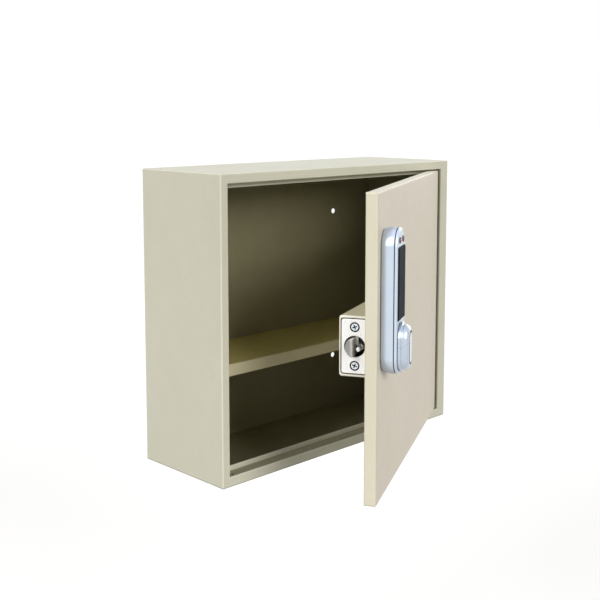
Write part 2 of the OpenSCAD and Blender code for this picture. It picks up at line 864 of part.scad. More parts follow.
module circuit_board() {
    y0 = wheel_d / 2 + board_margin;
    y1 = lock_h - lock_drop - lock_wall - board_margin;
    w = lock_w - 2 * lock_wall - 2 * board_side;
    color("#2F6B45") at_lock() difference() {
        translate([-w / 2, y0, board_z]) cube([w, y1 - y0, board_t]);
        translate([0, screw_high, 0]) cylinder(d = boss_d + 2 * drop_in, h = through);
        // clipped corners that follow the round end of the housing
        for (side = [-1, 1])
            translate([side * w / 2, y1, 0]) rotate([0, 0, 45])
                cube([board_clip, board_clip, through], center = true);
    }
}

module battery_tray() {
    inner = cell_len + 2 * tray_play;
    y0 = tray_y - inner / 2 - tray_wall;
    z0 = gasket_t + back_t;
    w = 2 * cell_d + cell_gap + 2 * tray_rim;
    color(dark) at_lock() {
        translate([-w / 2, y0, z0]) cube([w, inner + 2 * tray_wall, tray_wall]);
        for (y = [y0, y0 + inner + tray_wall])
            translate([-w / 2, y, z0]) cube([w, tray_wall, tray_side]);
    }
}

module batteries() {
    z = gasket_t + back_t + tray_wall + cell_d / 2;
    color("#3D6FA5") at_lock()
        for (side = [-1, 1])
            translate([side * (cell_d + cell_gap) / 2, tray_y, z]) rotate([90, 0, 0]) {
                cylinder(d = cell_d, h = cell_len, center = true);
                translate([0, 0, side * (cell_len + cell_nub) / 2])
                    cylinder(d = cell_nub_d, h = cell_nub + eps, center = true);
            }
}

module actuator() {
    w = 12;
    h = 13;
    color(dark) at_lock() difference() {
        translate([-w / 2, actuator_y, gasket_t + back_t]) cube([w, h, 10]);
        translate([0, actuator_y - 1, block_z]) rotate([-90, 0, 0])
            cylinder(d = block_d + 2 * slide_play, h = h + 2);
    }
}

module blocking_pin() {
    color(zinc) at_lock() translate([0, block_rest, block_z]) rotate([-90, 0, 0])
        cylinder(d = block_d, h = 17);
}

// Wheel on the spindle with a notch for the blocking pin at each end of the knob's turn
module lock_wheel() {
    notch = block_d + 2 * drop_in;
    depth = block_travel;
    color(zinc) at_lock() difference() {
        translate([0, 0, wheel_z]) cylinder(d = wheel_d, h = wheel_t);
        cylinder(d = hub_bore, h = through, center = true);
        for (a = [0, 90])
            rotate([0, 0, a]) translate([-notch / 2, wheel_d / 2 - depth, 0]) cube([notch, through, through]);
    }
}

module spindle() {
    color(zinc) at_lock() translate([0, 0, -spindle_in])
        cylinder(d = spindle_d, h = spindle_in + spindle_out);
}

// Crank on the inner end of the spindle; its pin works in the bolt's yoke
module drive_cam() {
    tip = 3.8;
    reach = bolt_flat - spindle_in - clear;
    color(zinc) at_lock() translate([0, 0, -spindle_in]) {
        difference() {
            union() {
                cylinder(d = spindle_d + 4, h = cam_t);
                rotate([0, 0, 45]) {
                    translate([-tip, 0, 0]) cube([2 * tip, crank_r, cam_t]);
                    translate([0, crank_r, 0]) cylinder(r = tip, h = cam_t);
                }
            }
            translate([0, 0, -1]) cylinder(d = hub_bore, h = cam_t + 2);
        }
        rotate([0, 0, 45]) translate([0, crank_r, -reach]) cylinder(d = crank_pin, h = reach + eps);
    }
}

module lock_knob() {
    color(satin) at_lock() translate([0, 0, lock_t + clear]) difference() {
        union() {
            pebble(knob_w, knob_h, 3, 1);
            pebble(knob_w - 2 * knob_step, knob_h - 2 * knob_step, knob_t - clear, 3.4);
        }
        translate([0, 0, -1]) cylinder(d = hub_bore, h = 8);
        translate([0, 0, knob_t - clear - 0.9]) linear_extrude(5) capsule(badge_w, badge_h);
    }
}

module knob_badge() {
    color("#D9DCDE") at_lock() translate([0, 0, lock_t + knob_t - 0.9])
        pebble(badge_w - 0.8, badge_h - 0.8, 1.2, 0.4);
}

body_shell();
back_panel();
shelf();
strike();
door_buffers();
hinge_frame_leaf();
hinge_pin();
hinge_door_leaf();
door_pan();
door_liner();
lock_channel();
latch_cover();
cover_screws();
latch_base();
latch_case();
face_plate();
face_plate_screws();
latch_bolt();
bolt_spring();
guard_plunger();
plunger_spring();
lock_gasket();
lock_back_plate();
lock_screws();
lock_housing();
reader_panel();
lamp_bezels();
red_lamp();
blue_lamp();
circuit_board();
battery_tray();
batteries();
actuator();
blocking_pin();
lock_wheel();
spindle();
drive_cam();
lock_knob();
knob_badge();
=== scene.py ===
import math

import bmesh
import bpy
from mathutils import Matrix, Vector


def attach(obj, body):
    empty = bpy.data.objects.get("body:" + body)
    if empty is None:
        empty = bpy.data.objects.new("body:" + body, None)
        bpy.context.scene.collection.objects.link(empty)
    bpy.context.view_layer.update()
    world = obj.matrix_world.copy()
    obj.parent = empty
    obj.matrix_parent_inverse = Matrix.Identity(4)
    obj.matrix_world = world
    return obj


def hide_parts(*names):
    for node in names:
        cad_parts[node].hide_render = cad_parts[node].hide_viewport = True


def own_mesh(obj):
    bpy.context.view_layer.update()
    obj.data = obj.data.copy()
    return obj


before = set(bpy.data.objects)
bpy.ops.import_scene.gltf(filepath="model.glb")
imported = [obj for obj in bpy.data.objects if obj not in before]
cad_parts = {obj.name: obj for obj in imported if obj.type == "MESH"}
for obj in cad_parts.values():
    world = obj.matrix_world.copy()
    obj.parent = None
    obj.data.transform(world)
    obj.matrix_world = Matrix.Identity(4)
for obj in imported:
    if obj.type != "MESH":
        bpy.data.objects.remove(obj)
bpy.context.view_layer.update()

mm = 0.001

# Where the door, the latch and the lock are laid out, in mm and degrees
layout = {
    "doorAngle": 28.5,
    "hinge": (180.8, -140.6),
    "doorLeft": -189.3,
    "front": -143.0,
    "latchHeight": 1.4,
    "lockX": -159.3,
}


def shiftBy(x, y, z):
    return Matrix.Translation(Vector((x, y, z)) * mm)


def turnBy(degrees, axis):
    return Matrix.Rotation(math.radians(degrees), 4, axis)


hingeX, hingeY = layout["hinge"]
doorPlace = shiftBy(hingeX, hingeY, 0) @ turnBy(layout["doorAngle"], "Z") @ shiftBy(-hingeX, -hingeY, 0)
# Lock axes: X to the right, Y up from the knob, Z out of the door
lockPlace = doorPlace @ shiftBy(layout["lockX"], layout["front"], layout["latchHeight"]) @ turnBy(90, "X")
# Latch axes: X from the door's free edge, Y into the cabinet, Z up from the latch
latchPlace = doorPlace @ shiftBy(layout["doorLeft"], layout["front"], layout["latchHeight"])


# Finishes
def fromHex(code):
    channels = [int(code[i : i + 2], 16) / 255 for i in (1, 3, 5)]
    return [c / 12.92 if c <= 0.04045 else ((c + 0.055) / 1.055) ** 2.4 for c in channels] + [1]


def addNode(tree, kind, values=None, links=None, **settings):
    node = tree.nodes.new(kind)
    for name, value in settings.items():
        setattr(node, name, value)
    for name, value in (values or {}).items():
        node.inputs[name].default_value = value
    for name, source in (links or {}).items():
        tree.links.new(source, node.inputs[name])
    return node


def startMaterial(name, **values):
    material = bpy.data.materials.new(name)
    material.use_nodes = True
    tree = material.node_tree
    tree.nodes.clear()
    surface = addNode(tree, "ShaderNodeBsdfPrincipled", {k.replace("_", " "): v for k, v in values.items()})
    addNode(tree, "ShaderNodeOutputMaterial", links={"Surface": surface.outputs["BSDF"]})
    where = addNode(tree, "ShaderNodeTexCoord").outputs["Object"]
    return material, tree, surface, where


# Most values of a noise lie in the middle of its range
middleSpan = (0.3, 0.7)


def makeFinish(name, shades, layers, gloss, bumps, grain=None, **values):
    # A finish of noises in the colour, the gloss and the relief. A noise starts with its size in mm,
    # detail and roughness; then a layer has its span, its share and the shade it brings over the first,
    # the gloss has the two steps from the plain roughness, and a bump has its depth in mm and strength.
    material, tree, surface, where = startMaterial(name, **values)
    grained = where
    if grain:
        turn, stretch = grain
        grained = addNode(
            tree,
            "ShaderNodeMapping",
            {"Rotation": (0, 0, math.radians(turn)), "Scale": stretch},
            {"Vector": where},
            vector_type="POINT",
        ).outputs["Vector"]
    # the first layer, the gloss and the relief follow the grain
    patterns = []
    for index, (sizeMm, detail, rough, *_) in enumerate([*layers, gloss, *bumps]):
        noise = addNode(
            tree,
            "ShaderNodeTexNoise",
            {"Scale": 1 / (sizeMm * mm), "Detail": detail, "Roughness": rough},
            {"Vector": where if 0 < index < len(layers) else grained},
        )
        patterns.append(noise.outputs["Fac"])
    colours = [fromHex(code) for code in shades]
    below = None
    for pattern, (*_, (low, high), share, shade) in zip(patterns, layers):
        span = {"From Min": low, "From Max": high, "To Min": 0, "To Max": share}
        factor = addNode(tree, "ShaderNodeMapRange", span, {"Value": pattern})
        links = {0: factor.outputs["Result"]}
        if below:
            links[6] = below
        mix = addNode(tree, "ShaderNodeMix", {6: colours[0], 7: colours[shade]}, links, data_type="RGBA")
        below = mix.outputs[2]
    tree.links.new(below, surface.inputs["Base Color"])
    (low, high), (*_, smoother, rougher), plain = middleSpan, gloss, values["Roughness"]
    span = {"From Min": low, "From Max": high, "To Min": plain + smoother, "To Max": plain + rougher}
    factor = addNode(tree, "ShaderNodeMapRange", span, {"Value": patterns[len(layers)]})
    tree.links.new(factor.outputs["Result"], surface.inputs["Roughness"])
    normal = None
    for pattern, (*_, depth, strength) in zip(patterns[len(layers) + 1 :], bumps):
        links = {"Height": pattern}
        if normal:
            links["Normal"] = normal
        bump = addNode(tree, "ShaderNodeBump", {"Distance": depth * mm, "Strength": strength}, links)
        normal = bump.outputs["Normal"]
    tree.links.new(normal, surface.inputs["Normal"])
    return material


coatValues = {
    "body": ("#CDCBB8", "#C6C4AF", "#D0CABA"),  # main colour, clouding, warm patches
    "door": ("#D1C8B7", "#CCC3AE", "#D5C8BB"),
    # paler copy of the coat, painted light on the latch box's lit end
    "latch": ("#EEEBDC", "#E6E3D2", "#EFEADE"),
    # paler copy of the coat, painted on bends and along the stop's edge as a highlight
    "edge": ("#D7D5C4", "#CECCB9", "#DAD5C7"),
    # darker copy of the coat, painted in creases and on shaded bends as painted shade
    "crease": ("#989479", "#8E8A70", "#9B947F"),
    # inside coat, darker and more olive than the outside as painted shade
    "inside": ("#8E8A6E", "#807A5C", "#8D855E"),
    "shelf": ("#D2C781", "#BEB26A", "#D0BF70"),
    "front": ("#D5CCAA", "#CBC29E", "#D4C9A8"),
    "flange": ("#D6D1BC", "#D1CBB4", "#D8D0C0"),
    "layers": (
        (120, 3, 0.5, middleSpan, 1.0, 1),  # clouding
        (45, 2, 0.5, middleSpan, 0.35, 2),  # warm patches
        (13, 4, 0.6, middleSpan, 0.5, 1),  # mottling
        (0.5, 1, 0.5, (0.45, 0.75), 0.12, 1),  # specks
    ),
    "scuffs": (9, 5, 0.65, -0.06, 0.08),
    "bumps": ((1.5, 1.5, 0.5, 0.05, 0.35), (0.35, 1, 0.5, 0.02, 0.15)),  # orange peel, fine grain
}


def makePowderCoat(name, colours, roughness):
    # Polyester powder coat, sprayed and baked: satin, with a fine orange peel and faint clouding
    v = coatValues
    plain = {"Roughness": roughness, "Specular_IOR_Level": 0.4, "IOR": 1.5}
    return makeFinish(name, v[colours], v["layers"], v["scuffs"], v["bumps"], **plain)


def makeCastMetal(name, colour, tint, roughness, metallic, grainMm, relief, coat=0.0):
    # Die-cast zinc under silver lacquer or plating: fine flake, soft mottling of the gloss.
    # Real flake is finer than a tenth of a millimetre: grainMm is coarser, so that it shows
    flake, clouds = (grainMm, 2, 0.5, middleSpan, 1, 1), (22, 3, 0.5, middleSpan, 0.6, 0)
    bumps = [(grainMm * 3, 1, 0.5, relief, 0.3)]
    plain = {"Roughness": roughness, "Metallic": metallic, "Coat_Weight": coat, "Coat_Roughness": 0.12}
    return makeFinish(name, (colour, tint), (flake, clouds), (6, 4, 0.6, -0.05, 0.07), bumps, **plain)


def makeBrushedMetal(name, colour, tint, roughness, stretch, turn=0.0, relief=0.02, metallic=1.0):
    # Rolled or brushed plate: parallel lines along the axis with the small stretch value, drawn at
    # 0.4 mm, which is coarser than the real ones, so that they show
    lines, stains = (0.4, 3, 0.7), (7, 4, 0.6)
    layers = ((*lines, middleSpan, 1, 1), (*stains, middleSpan, 0.5, 0))
    gloss, bumps = (*lines, -0.06, 0.1), [(*lines, relief, 0.4)]
    plain = {"Roughness": roughness, "Metallic": metallic}
    return makeFinish(name, (colour, tint), layers, gloss, bumps, (turn, stretch), **plain)


def makeMoulded(name, colour, tint, roughness, grainMm, relief, shine=0.5):
    # Moulded plastic or rubber with a spark-eroded grain, drawn coarser than the real one so that it
    # shows, and rubbed smoother in places
    rub, bumps = (11, 4, 0.6), [(grainMm, 2, 0.6, relief, 0.5)]
    plain = {"Roughness": roughness, "IOR": 1.49, "Specular_IOR_Level": shine}
    return makeFinish(name, (colour, tint), [(*rub, middleSpan, 1, 1)], (*rub, -0.05, 0.1), bumps, **plain)


lensValues = {"rimAt": 18.2, "crownAt": 19.4}  # mm in front of the door's face, over which the painted shade on the dome's sides fades out


def makeLens(name, colour, edge):
    # Cast epoxy lens of a lamp: glossy and tinted, with painted shade that darkens it down the sides of its
    # dome
    v = lensValues
    material, tree, surface, where = startMaterial(name, Roughness=0.06, IOR=1.55, Coat_Weight=0.6)
    outward = lockPlace.to_3x3() @ Vector((0, 0, 1))
    door = lockPlace.translation.dot(outward)
    # distance of a point in front of the door, along the lock's axis
    ahead = addNode(tree, "ShaderNodeVectorMath", {1: outward}, {0: where}, operation="DOT_PRODUCT")
    swirl = addNode(tree, "ShaderNodeTexNoise", {"Scale": 1 / (1.2 * mm), "Detail": 2}, {"Vector": where})
    shadedSidesSpan = (door + v["rimAt"] * mm, door + v["crownAt"] * mm, 1, 0)
    shade = None
    for pattern, (low, high, first, last) in (
        (ahead.outputs["Value"], shadedSidesSpan),
        (swirl.outputs["Fac"], (*middleSpan, 0, 0.5)),
    ):
        span = {"From Min": low, "From Max": high, "To Min": first, "To Max": last}
        factor = addNode(tree, "ShaderNodeMapRange", span, {"Value": pattern})
        links = {0: factor.outputs["Result"]}
        if shade:
            links[6] = shade
        mix = addNode(tree, "ShaderNodeMix", {6: fromHex(colour), 7: fromHex(edge)}, links, data_type="RGBA")
        shade = mix.outputs[2]
    tree.links.new(shade, surface.inputs["Base Color"])
    ripple = addNode(tree, "ShaderNodeTexNoise", {"Scale": 1 / (0.8 * mm), "Detail": 2}, {"Vector": where})
    bump = addNode(
        tree, "ShaderNodeBump", {"Distance": 0.01 * mm, "Strength": 0.2}, {"Height": ripple.outputs["Fac"]}
    )
    tree.links.new(bump.outputs["Normal"], surface.inputs["Normal"])
    return material


def makeBoard(name):
    # Glass-fibre circuit board: green solder mask over copper tracks, seen as paler lines
    material, tree, surface, where = startMaterial(name, Roughness=0.35, IOR=1.5)
    tracks = addNode(
        tree,
        "ShaderNodeTexBrick",
        {
            "Scale": 1 / (6 * mm),
            "Mortar Size": 0.06,
            "Color1": (0, 0, 0, 1),
            "Color2": (0.1, 0.1, 0.1, 1),
            "Mortar": (1, 1, 1, 1),
        },
        {"Vector": where},
    ).outputs["Fac"]
    mix = addNode(
        tree, "ShaderNodeMix", {6: fromHex("#1F5E3A"), 7: fromHex("#3C8A58")}, {0: tracks}, data_type="RGBA"
    )
    tree.links.new(mix.outputs[2], surface.inputs["Base Color"])
    bump = addNode(tree, "ShaderNodeBump", {"Distance": 0.035 * mm, "Strength": 0.6}, {"Height": tracks})
    tree.links.new(bump.outputs["Normal"], surface.inputs["Normal"])
    return material


coat = makePowderCoat("puttyPowderCoat", "body", 0.44)
doorCoat = makePowderCoat("puttyPowderCoatDoor", "door", 0.44)
flangeCoat = makePowderCoat("puttyPowderCoatFlange", "flange", 0.44)
# painted highlight: a paler, glossier copy of the coat for the bends
bendHighlightCoat = makePowderCoat("paleHighlightCoatOnBends", "edge", 0.32)
# painted shade: a darker, duller copy of the coat for creases, bottom bends, the hinge-side bend and the
# ledge
creaseShadeCoat = makePowderCoat("darkShadeCoatCrease", "crease", 0.55)
# painted light: a near-white copy of the coat for the latch box's lit end
latchEndLightCoat = makePowderCoat("latchEndPaintedLightCoat", "latch", 0.42)
frontCoat = makePowderCoat("yellowedPowderCoat", "front", 0.42)
# painted shade: the cabinet's inside is the same paint as the outside, given a darker copy
insideShadeCoat = makePowderCoat("insidePaintedShadeCoat", "inside", 0.5)
shelfCoat = makePowderCoat("olivePowderCoatShelf", "shelf", 0.5)
silver = makeCastMetal(
    "silverLacqueredZinc", "#C8D4E2", "#BFCBDA",
    roughness=0.34, metallic=0.5, grainMm=0.4, relief=0.004, coat=0.2,
)
knobSilver = makeCastMetal(
    "satinChromedZinc", "#BEC8D4", "#B4BFCD",
    roughness=0.3, metallic=0.7, grainMm=0.4, relief=0.003, coat=0.2,
)
rawZinc = makeCastMetal(
    "rawDieCastZinc", "#55534D", "#403F3A", roughness=0.5, metallic=0.8, grainMm=0.8, relief=0.05
)
# What sits on the door is brushed along the door, which is turned
alongDoor = -layout["doorAngle"]
platedNickel = makeBrushedMetal(
    "brushedNickelPlate", "#F6F5F2", "#EDECE8",
    roughness=0.3, stretch=(1, 1, 0.04), turn=alongDoor, relief=0.02, metallic=0.5,
)
boltNickel = makeBrushedMetal(
    "nickelledSteelBolt", "#B9B8B4", "#9E9C97",
    roughness=0.34, stretch=(1, 1, 0.05), turn=alongDoor, relief=0.03, metallic=0.5,
)
zincPlate = makeBrushedMetal("zincPlatedSteel", "#C9CAC6", "#B3B2A6", roughness=0.32, stretch=(1, 1, 0.2))
blueZinc = makeBrushedMetal(
    "bluePassivatedZinc", "#EAF0F4", "#D5DDE6",
    roughness=0.26, stretch=(1, 1, 0.3), turn=alongDoor, relief=0.02, metallic=0.6,
)
springSteel = makeBrushedMetal(
    "drawnSpringSteel", "#8C8E90", "#6F7173", roughness=0.3, stretch=(0.1, 1, 1), turn=alongDoor
)
# painted shade: the hinge is made near-black so that the shadowed gap at the hinge reads dark
hingeDarkAsShade = makeBrushedMetal(
    "hingeSteelDarkenedAsShade", "#2E2815", "#1F1A0C",
    roughness=0.55, stretch=(1, 1, 0.1), turn=0, relief=0.03, metallic=0.25,
)
badgePlate = makeBrushedMetal(
    "brightAnodisedBadge", "#E9ECEF", "#D3D8DD",
    roughness=0.22, stretch=(0.05, 1, 1), turn=alongDoor, relief=0.008,
)
bezelMetal = makeCastMetal(
    "blackChromeBezel", "#6B655C", "#4B463F", roughness=0.2, metallic=0.9, grainMm=0.4, relief=0.01
)
panelPlastic = makeMoulded(
    "blackGrainedAbs", "#14181E", "#1E232C", roughness=0.75, grainMm=0.9, relief=0.05, shine=0.12
)
# painted shade: black for grooves, gaps, sinks and recesses
blackGap = makeMoulded(
    "blackPaintedShadeFill", "#0D0E10", "#151619", roughness=0.6, grainMm=0.5, relief=0.02, shine=0.1
)
rubber = makeMoulded(
    "greySiliconeRubber", "#6A6E73", "#75787C", roughness=0.7, grainMm=0.4, relief=0.04, shine=0.2
)
greyPad = makeMoulded("greyBufferRubber", "#55554F", "#64645C", roughness=0.75, grainMm=0.4, relief=0.05)
darkPlastic = makeMoulded(
    "darkGlassFilledNylon", "#2C2F33", "#3A3D40", roughness=0.55, grainMm=0.6, relief=0.06
)
cellSleeve = makeMoulded("shrinkSleeve", "#2F62A0", "#27548C", roughness=0.3, grainMm=3.0, relief=0.03)
# the second colour is the painted shade down the dome's sides
redLens = makeLens("redEpoxyLens", "#C2322A", "#5A0F0C")
blueLens = makeLens("blueEpoxyLens", "#2C52C8", "#0B1850")
board = makeBoard("greenCircuitBoard")
print("finishes made")


# Modelling by hand: sizes and places in mm, in edit mode until a piece is finished
def deselectAll():
    if bpy.context.object and bpy.context.object.mode != "OBJECT":
        bpy.ops.object.mode_set(mode="OBJECT")
    bpy.ops.object.select_all(action="DESELECT")


def activate(piece):
    deselectAll()
    piece.select_set(True)
    bpy.context.view_layer.objects.active = piece


def openForEditing(name, materials=()):
    piece = bpy.context.object
    piece.name = piece.data.name = name
    for material in materials:
        piece.data.materials.append(material)
    bpy.ops.object.transform_apply(location=True, rotation=True, scale=True)
    bpy.ops.object.mode_set(mode="EDIT")
    return piece


def startBox(name, low, high, materials=()):
    deselectAll()
    middle = [(a + b) / 2 * mm for a, b in zip(low, high)]
    bpy.ops.mesh.primitive_cube_add(size=mm, location=middle, scale=[b - a for a, b in zip(low, high)])
    return openForEditing(name, materials)


def startRod(name, radius, start, end, materials=(), sides=48, radiusEnd=None):
    # a cylinder or cone between two points
    deselectAll()
    start, end = Vector(start), Vector(end)
    way = end - start
    turn = way.to_track_quat("Z", "Y").to_euler()
    bpy.ops.mesh.primitive_cone_add(
        vertices=sides,
        radius1=radius * mm,
        radius2=(radius if radiusEnd is None else radiusEnd) * mm,
        depth=way.length * mm,
        location=(start + end) / 2 * mm,
        rotation=turn,
    )
    return openForEditing(name, materials)


def pick(kind, test):
    # selects what passes test(centre in mm, normal or direction)
    bpy.ops.mesh.select_mode(type=kind)
    bpy.ops.mesh.select_all(action="DESELECT")
    data = bpy.context.object.data
    mesh = bmesh.from_edit_mesh(data)
    for item in {"VERT": mesh.verts, "EDGE": mesh.edges, "FACE": mesh.faces}[kind]:
        if kind == "VERT":
            centre, way = item.co, item.normal
        elif kind == "EDGE":
            a, b = (v.co for v in item.verts)
            centre, way = (a + b) / 2, (b - a).normalized()
        else:
            centre, way = item.calc_center_median(), item.normal
        if test(centre / mm, way):
            item.select_set(True)
    bmesh.update_edit_mesh(data, loop_triangles=False, destructive=False)


def paint(index, test=None):
    # gives the selected faces, or those that pass test, the finish in that slot
    if test:
        pick("FACE", test)
    bpy.context.object.active_material_index = index
    bpy.ops.object.material_slot_assign()


def near(a, b, slack=0.05):
    return abs(a - b) < slack


def move(x, y, z):
    bpy.ops.transform.translate(value=(x * mm, y * mm, z * mm))


def shrinkRing(z, step, width, height, middle=0):
    # draws the ring of points at that height in by step; width and height are the outline's
    pick("VERT", lambda c, n: near(c.z, z))
    bpy.ops.transform.resize(
        value=(1 - 2 * step / width, 1 - 2 * step / height, 1),
        center_override=(0, middle * mm, z * mm),
    )


def extrude(x, y, z):
    bpy.ops.mesh.extrude_region_move(TRANSFORM_OT_translate={"value": (x * mm, y * mm, z * mm)})


def inset(width):
    bpy.ops.mesh.inset(thickness=width * mm, depth=0)


def roundEdges(width, steps, test):
    pick("EDGE", test)
    bpy.ops.mesh.bevel(
        offset_type="OFFSET", offset=width * mm, segments=steps, affect="EDGES", clamp_overlap=False
    )


def cutPlane(point, normal, drop=None):
    # cuts along a plane; drop is "outer" or "inner" to delete that side and close the cut
    bpy.ops.mesh.select_all(action="SELECT")
    bpy.ops.mesh.bisect(
        plane_co=Vector(point) * mm,
        plane_no=normal,
        use_fill=drop is not None,
        clear_outer=drop == "outer",
        clear_inner=drop == "inner",
    )


def useModifier(piece, kind, **settings):
    activate(piece)
    modifier = piece.modifiers.new(kind, kind)
    for name, value in settings.items():
        setattr(modifier, name, value)
    bpy.ops.object.modifier_apply(modifier=modifier.name)


def thicken(piece, sheet, inner=0):
    # gives folded sheet its thickness inwards; inner is the material index of the inner skin
    useModifier(
        piece, "SOLIDIFY", thickness=sheet * mm, offset=-1, use_even_offset=True, material_offset=inner
    )


def joinPieces(name, pieces):
    deselectAll()
    for piece in pieces:
        piece.select_set(True)
    bpy.context.view_layer.objects.active = pieces[0]
    if len(pieces) > 1:
        bpy.ops.object.join()
    pieces[0].name = pieces[0].data.name = name
    return pieces[0]


def cutAway(piece, cutters):
    # cut faces take the cutter's finish
    cutter = joinPieces("cutter", cutters)
    useModifier(
        piece, "BOOLEAN", operation="DIFFERENCE", solver="EXACT", material_mode="TRANSFER", object=cutter
    )
    bpy.data.objects.remove(cutter, do_unlink=True)


def copyPiece(piece, name, z=0):
    activate(piece)
    bpy.ops.object.duplicate(linked=False)
    copy = bpy.context.object
    copy.name = copy.data.name = name
    copy.location.z = z * mm
    bpy.ops.object.transform_apply(location=True, rotation=False, scale=False)
    return copy


def softenEdges(piece, width, sharpest, segments=2):
    # rounds every edge that turns by more than sharpest degrees
    limit = math.radians(sharpest)
    useModifier(
        piece, "BEVEL", width=width * mm, segments=segments, limit_method="ANGLE", angle_limit=limit
    )


def finishPiece(piece, body, nodes, place=None, softEdge=0, smooth=34):
    # rides the piece on its body in place of the frame's nodes; smooth is in degrees
    activate(piece)
    if softEdge:
        softenEdges(piece, softEdge, 50)
    if place is not None:
        piece.matrix_world = place
        bpy.ops.object.transform_apply(location=True, rotation=True, scale=True)
    bpy.ops.object.shade_smooth_by_angle(angle=math.radians(smooth))
    useModifier(piece, "WEIGHTED_NORMAL", keep_sharp=True, weight=80)
    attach(piece, body)
    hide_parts(*nodes)
    return piece


bodyValues = {
    "low": (-202.0, -143.0, -178.0),
    "high": (202.0, 0.0, 178.0),
    "sheet": 1.2,
    "opening": (-191.4, 184.8, -166.0, 166.6),  # left, right, bottom, top
    "stop": (-185.4, 172.8, -159.3, 160.8),
    "stopBack": 14.5,
    "outerBend": 1.5,
    "openingBend": 1.35,
    "stopBend": 1.5,
    "stopHighlightStrip": 1.6,  # strip along the stop's free edge, painted paler as a highlight
    "relief": 3.0,  # diameter of the bend reliefs in the opening's corners
    "drain": (8.1, 6.9),  # from the opening's corner and its front to the hole in the ledge
    "drainHole": 5.0,
}


def moveSides(before, after, test):
    # moves the four sides of a window in a wall that faces forward; each is (left, right, bottom, top)
    for axis, index in ((0, 0), (0, 1), (2, 2), (2, 3)):
        step = after[index] - before[index]
        if abs(step) > 1e-6:
            pick("VERT", lambda c, n: near(c[axis], before[index]) and test(c))
            move(*(step if a == axis else 0 for a in range(3)))


def makeBodyShell():
    # finishes in the order of paint's numbers: outside, inside painted darker as shade, bends painted paler
    # as a highlight, creases and dark bands painted darker as shade
    v = bodyValues
    (x0, y0, z0), (x1, _, z1) = v["low"], v["high"]
    left, right, bottom, top = v["opening"]
    stopY = y0 + v["stopBack"]
    piece = startBox("bodyShell", v["low"], v["high"], [coat, insideShadeCoat, bendHighlightCoat, creaseShadeCoat])
    # each window is inset evenly, then its sides are moved to where they belong
    pick("FACE", lambda c, n: n.y < -0.9)
    frameWidth = 9.7
    inset(frameWidth)
    window = (x0 + frameWidth, x1 - frameWidth, z0 + frameWidth, z1 - frameWidth)
    moveSides(window, v["opening"], lambda c: near(c.y, y0))
    middleX, middleZ = (left + right) / 2, (top + bottom) / 2
    pick("FACE", lambda c, n: n.y < -0.9 and near(c.x, middleX, 1) and near(c.z, middleZ, 1))
    extrude(0, v["stopBack"], 0)
    lip, rim = 4.0, v["stopHighlightStrip"]
    inset(lip)
    window = (left + lip, right - lip, bottom + lip, top - lip)
    stopLeft, stopRight, stopBottom, stopTop = v["stop"]
    rimmed = (stopLeft - rim, stopRight + rim, stopBottom - rim, stopTop + rim)
    moveSides(window, rimmed, lambda c: near(c.y, stopY))
    pick("FACE", lambda c, n: near(c.y, stopY) and near(c.x, (stopLeft + stopRight) / 2, 1) and n.y < -0.9)
    inset(rim)
    bpy.ops.mesh.delete(type="FACE")
    pick("FACE", lambda c, n: n.y > 0.9)
    bpy.ops.mesh.delete(type="FACE")
    roundEdges(
        v["outerBend"],
        4,
        lambda c, w: (near(abs(c.x), x1) and near(abs(c.z), z1))
        or (near(c.y, y0) and (near(abs(c.x), x1) or near(abs(c.z), z1))),
    )
    inOpening = lambda c, slack=0.05: any(
        near(*pair, slack) for pair in ((c.x, left), (c.x, right), (c.z, bottom), (c.z, top))
    )
    roundEdges(v["openingBend"], 4, lambda c, w: near(c.y, y0) and inOpening(c))
    roundEdges(v["stopBend"], 3, lambda c, w: near(c.y, stopY) and inOpening(c))
    # painted highlight: the bends get a paler coat; painted shade: the inner corners, the bottom bends, the
    # right-hand opening bend and the ledge get a darker coat
    bent = lambda n: max(abs(n.x), abs(n.y), abs(n.z)) < 0.99
    paint(2, lambda c, n: bent(n) and c.y < stopY - 2 and n.z > -0.1 and not near(c.x, right, 1.5))
    # the strip along the stop's free edge is painted paler as a highlight
    onHighlightStrip = lambda c: any(
        near(*pair, rim * 0.6)
        for pair in (
            (c.x, stopLeft - rim / 2),
            (c.x, stopRight + rim / 2),
            (c.z, stopBottom - rim / 2),
            (c.z, stopTop + rim / 2),
        )
    )
    paint(2, lambda c, n: n.y < -0.9 and near(c.y, stopY) and onHighlightStrip(c))
    # painted shade on the inner corners, the bottom bends, the right-hand opening bend and the ledge
    shadedPlaces = (
        lambda c, n: bent(n) and near(c.y, stopY, 1.2) and inOpening(c, 1.2),
        lambda c, n: bent(n) and (c.z < z0 + v["outerBend"] or near(c.x, right, 1.5)),
        lambda c, n: n.z > 0.9 and near(c.z, bottom) and c.y < stopY,
    )
    for test in shadedPlaces:
        paint(3, test)
    # the inner skin takes the inside coat, darker as painted shade
    thicken(piece, v["sheet"], 1)
    cutters = []
    for x in (left, right):
        for z in (bottom, top):
            start, end = (x, y0 + v["sheet"] + 1, z), (x, stopY, z)
            cutters.append(startRod("cutter", v["relief"] / 2, start, end, [coat], 20))
    aside, inward = v["drain"]
    for x in (left + aside, right - aside):
        start, end = (x, y0 + inward, bottom + 2), (x, y0 + inward, bottom - 3)
        # the drain holes' walls take the darker coat as painted shade
        cutters.append(startRod("cutter", v["drainHole"] / 2, start, end, [creaseShadeCoat], 24))
    cutAway(piece, cutters)
    return finishPiece(piece, "cabinet", ["body_shell"])


backValues = {
    "low": (-200.8, -1.0, -176.8),
    "high": (200.8, 0.0, 176.8),
    "hole": 7.0,
    "spacing": (250.0, 208.0),  # of the wall holes
    "weldInset": 7,
    "weldsUp": (-135, -81, -27, 27, 81, 135),
    "weldsAcross": (-150, -90, -30, 30, 90, 150),
    "weldDepth": 0.22,
    "weldRadii": (2.6, 3.4),  # at its floor and at the panel's face
}


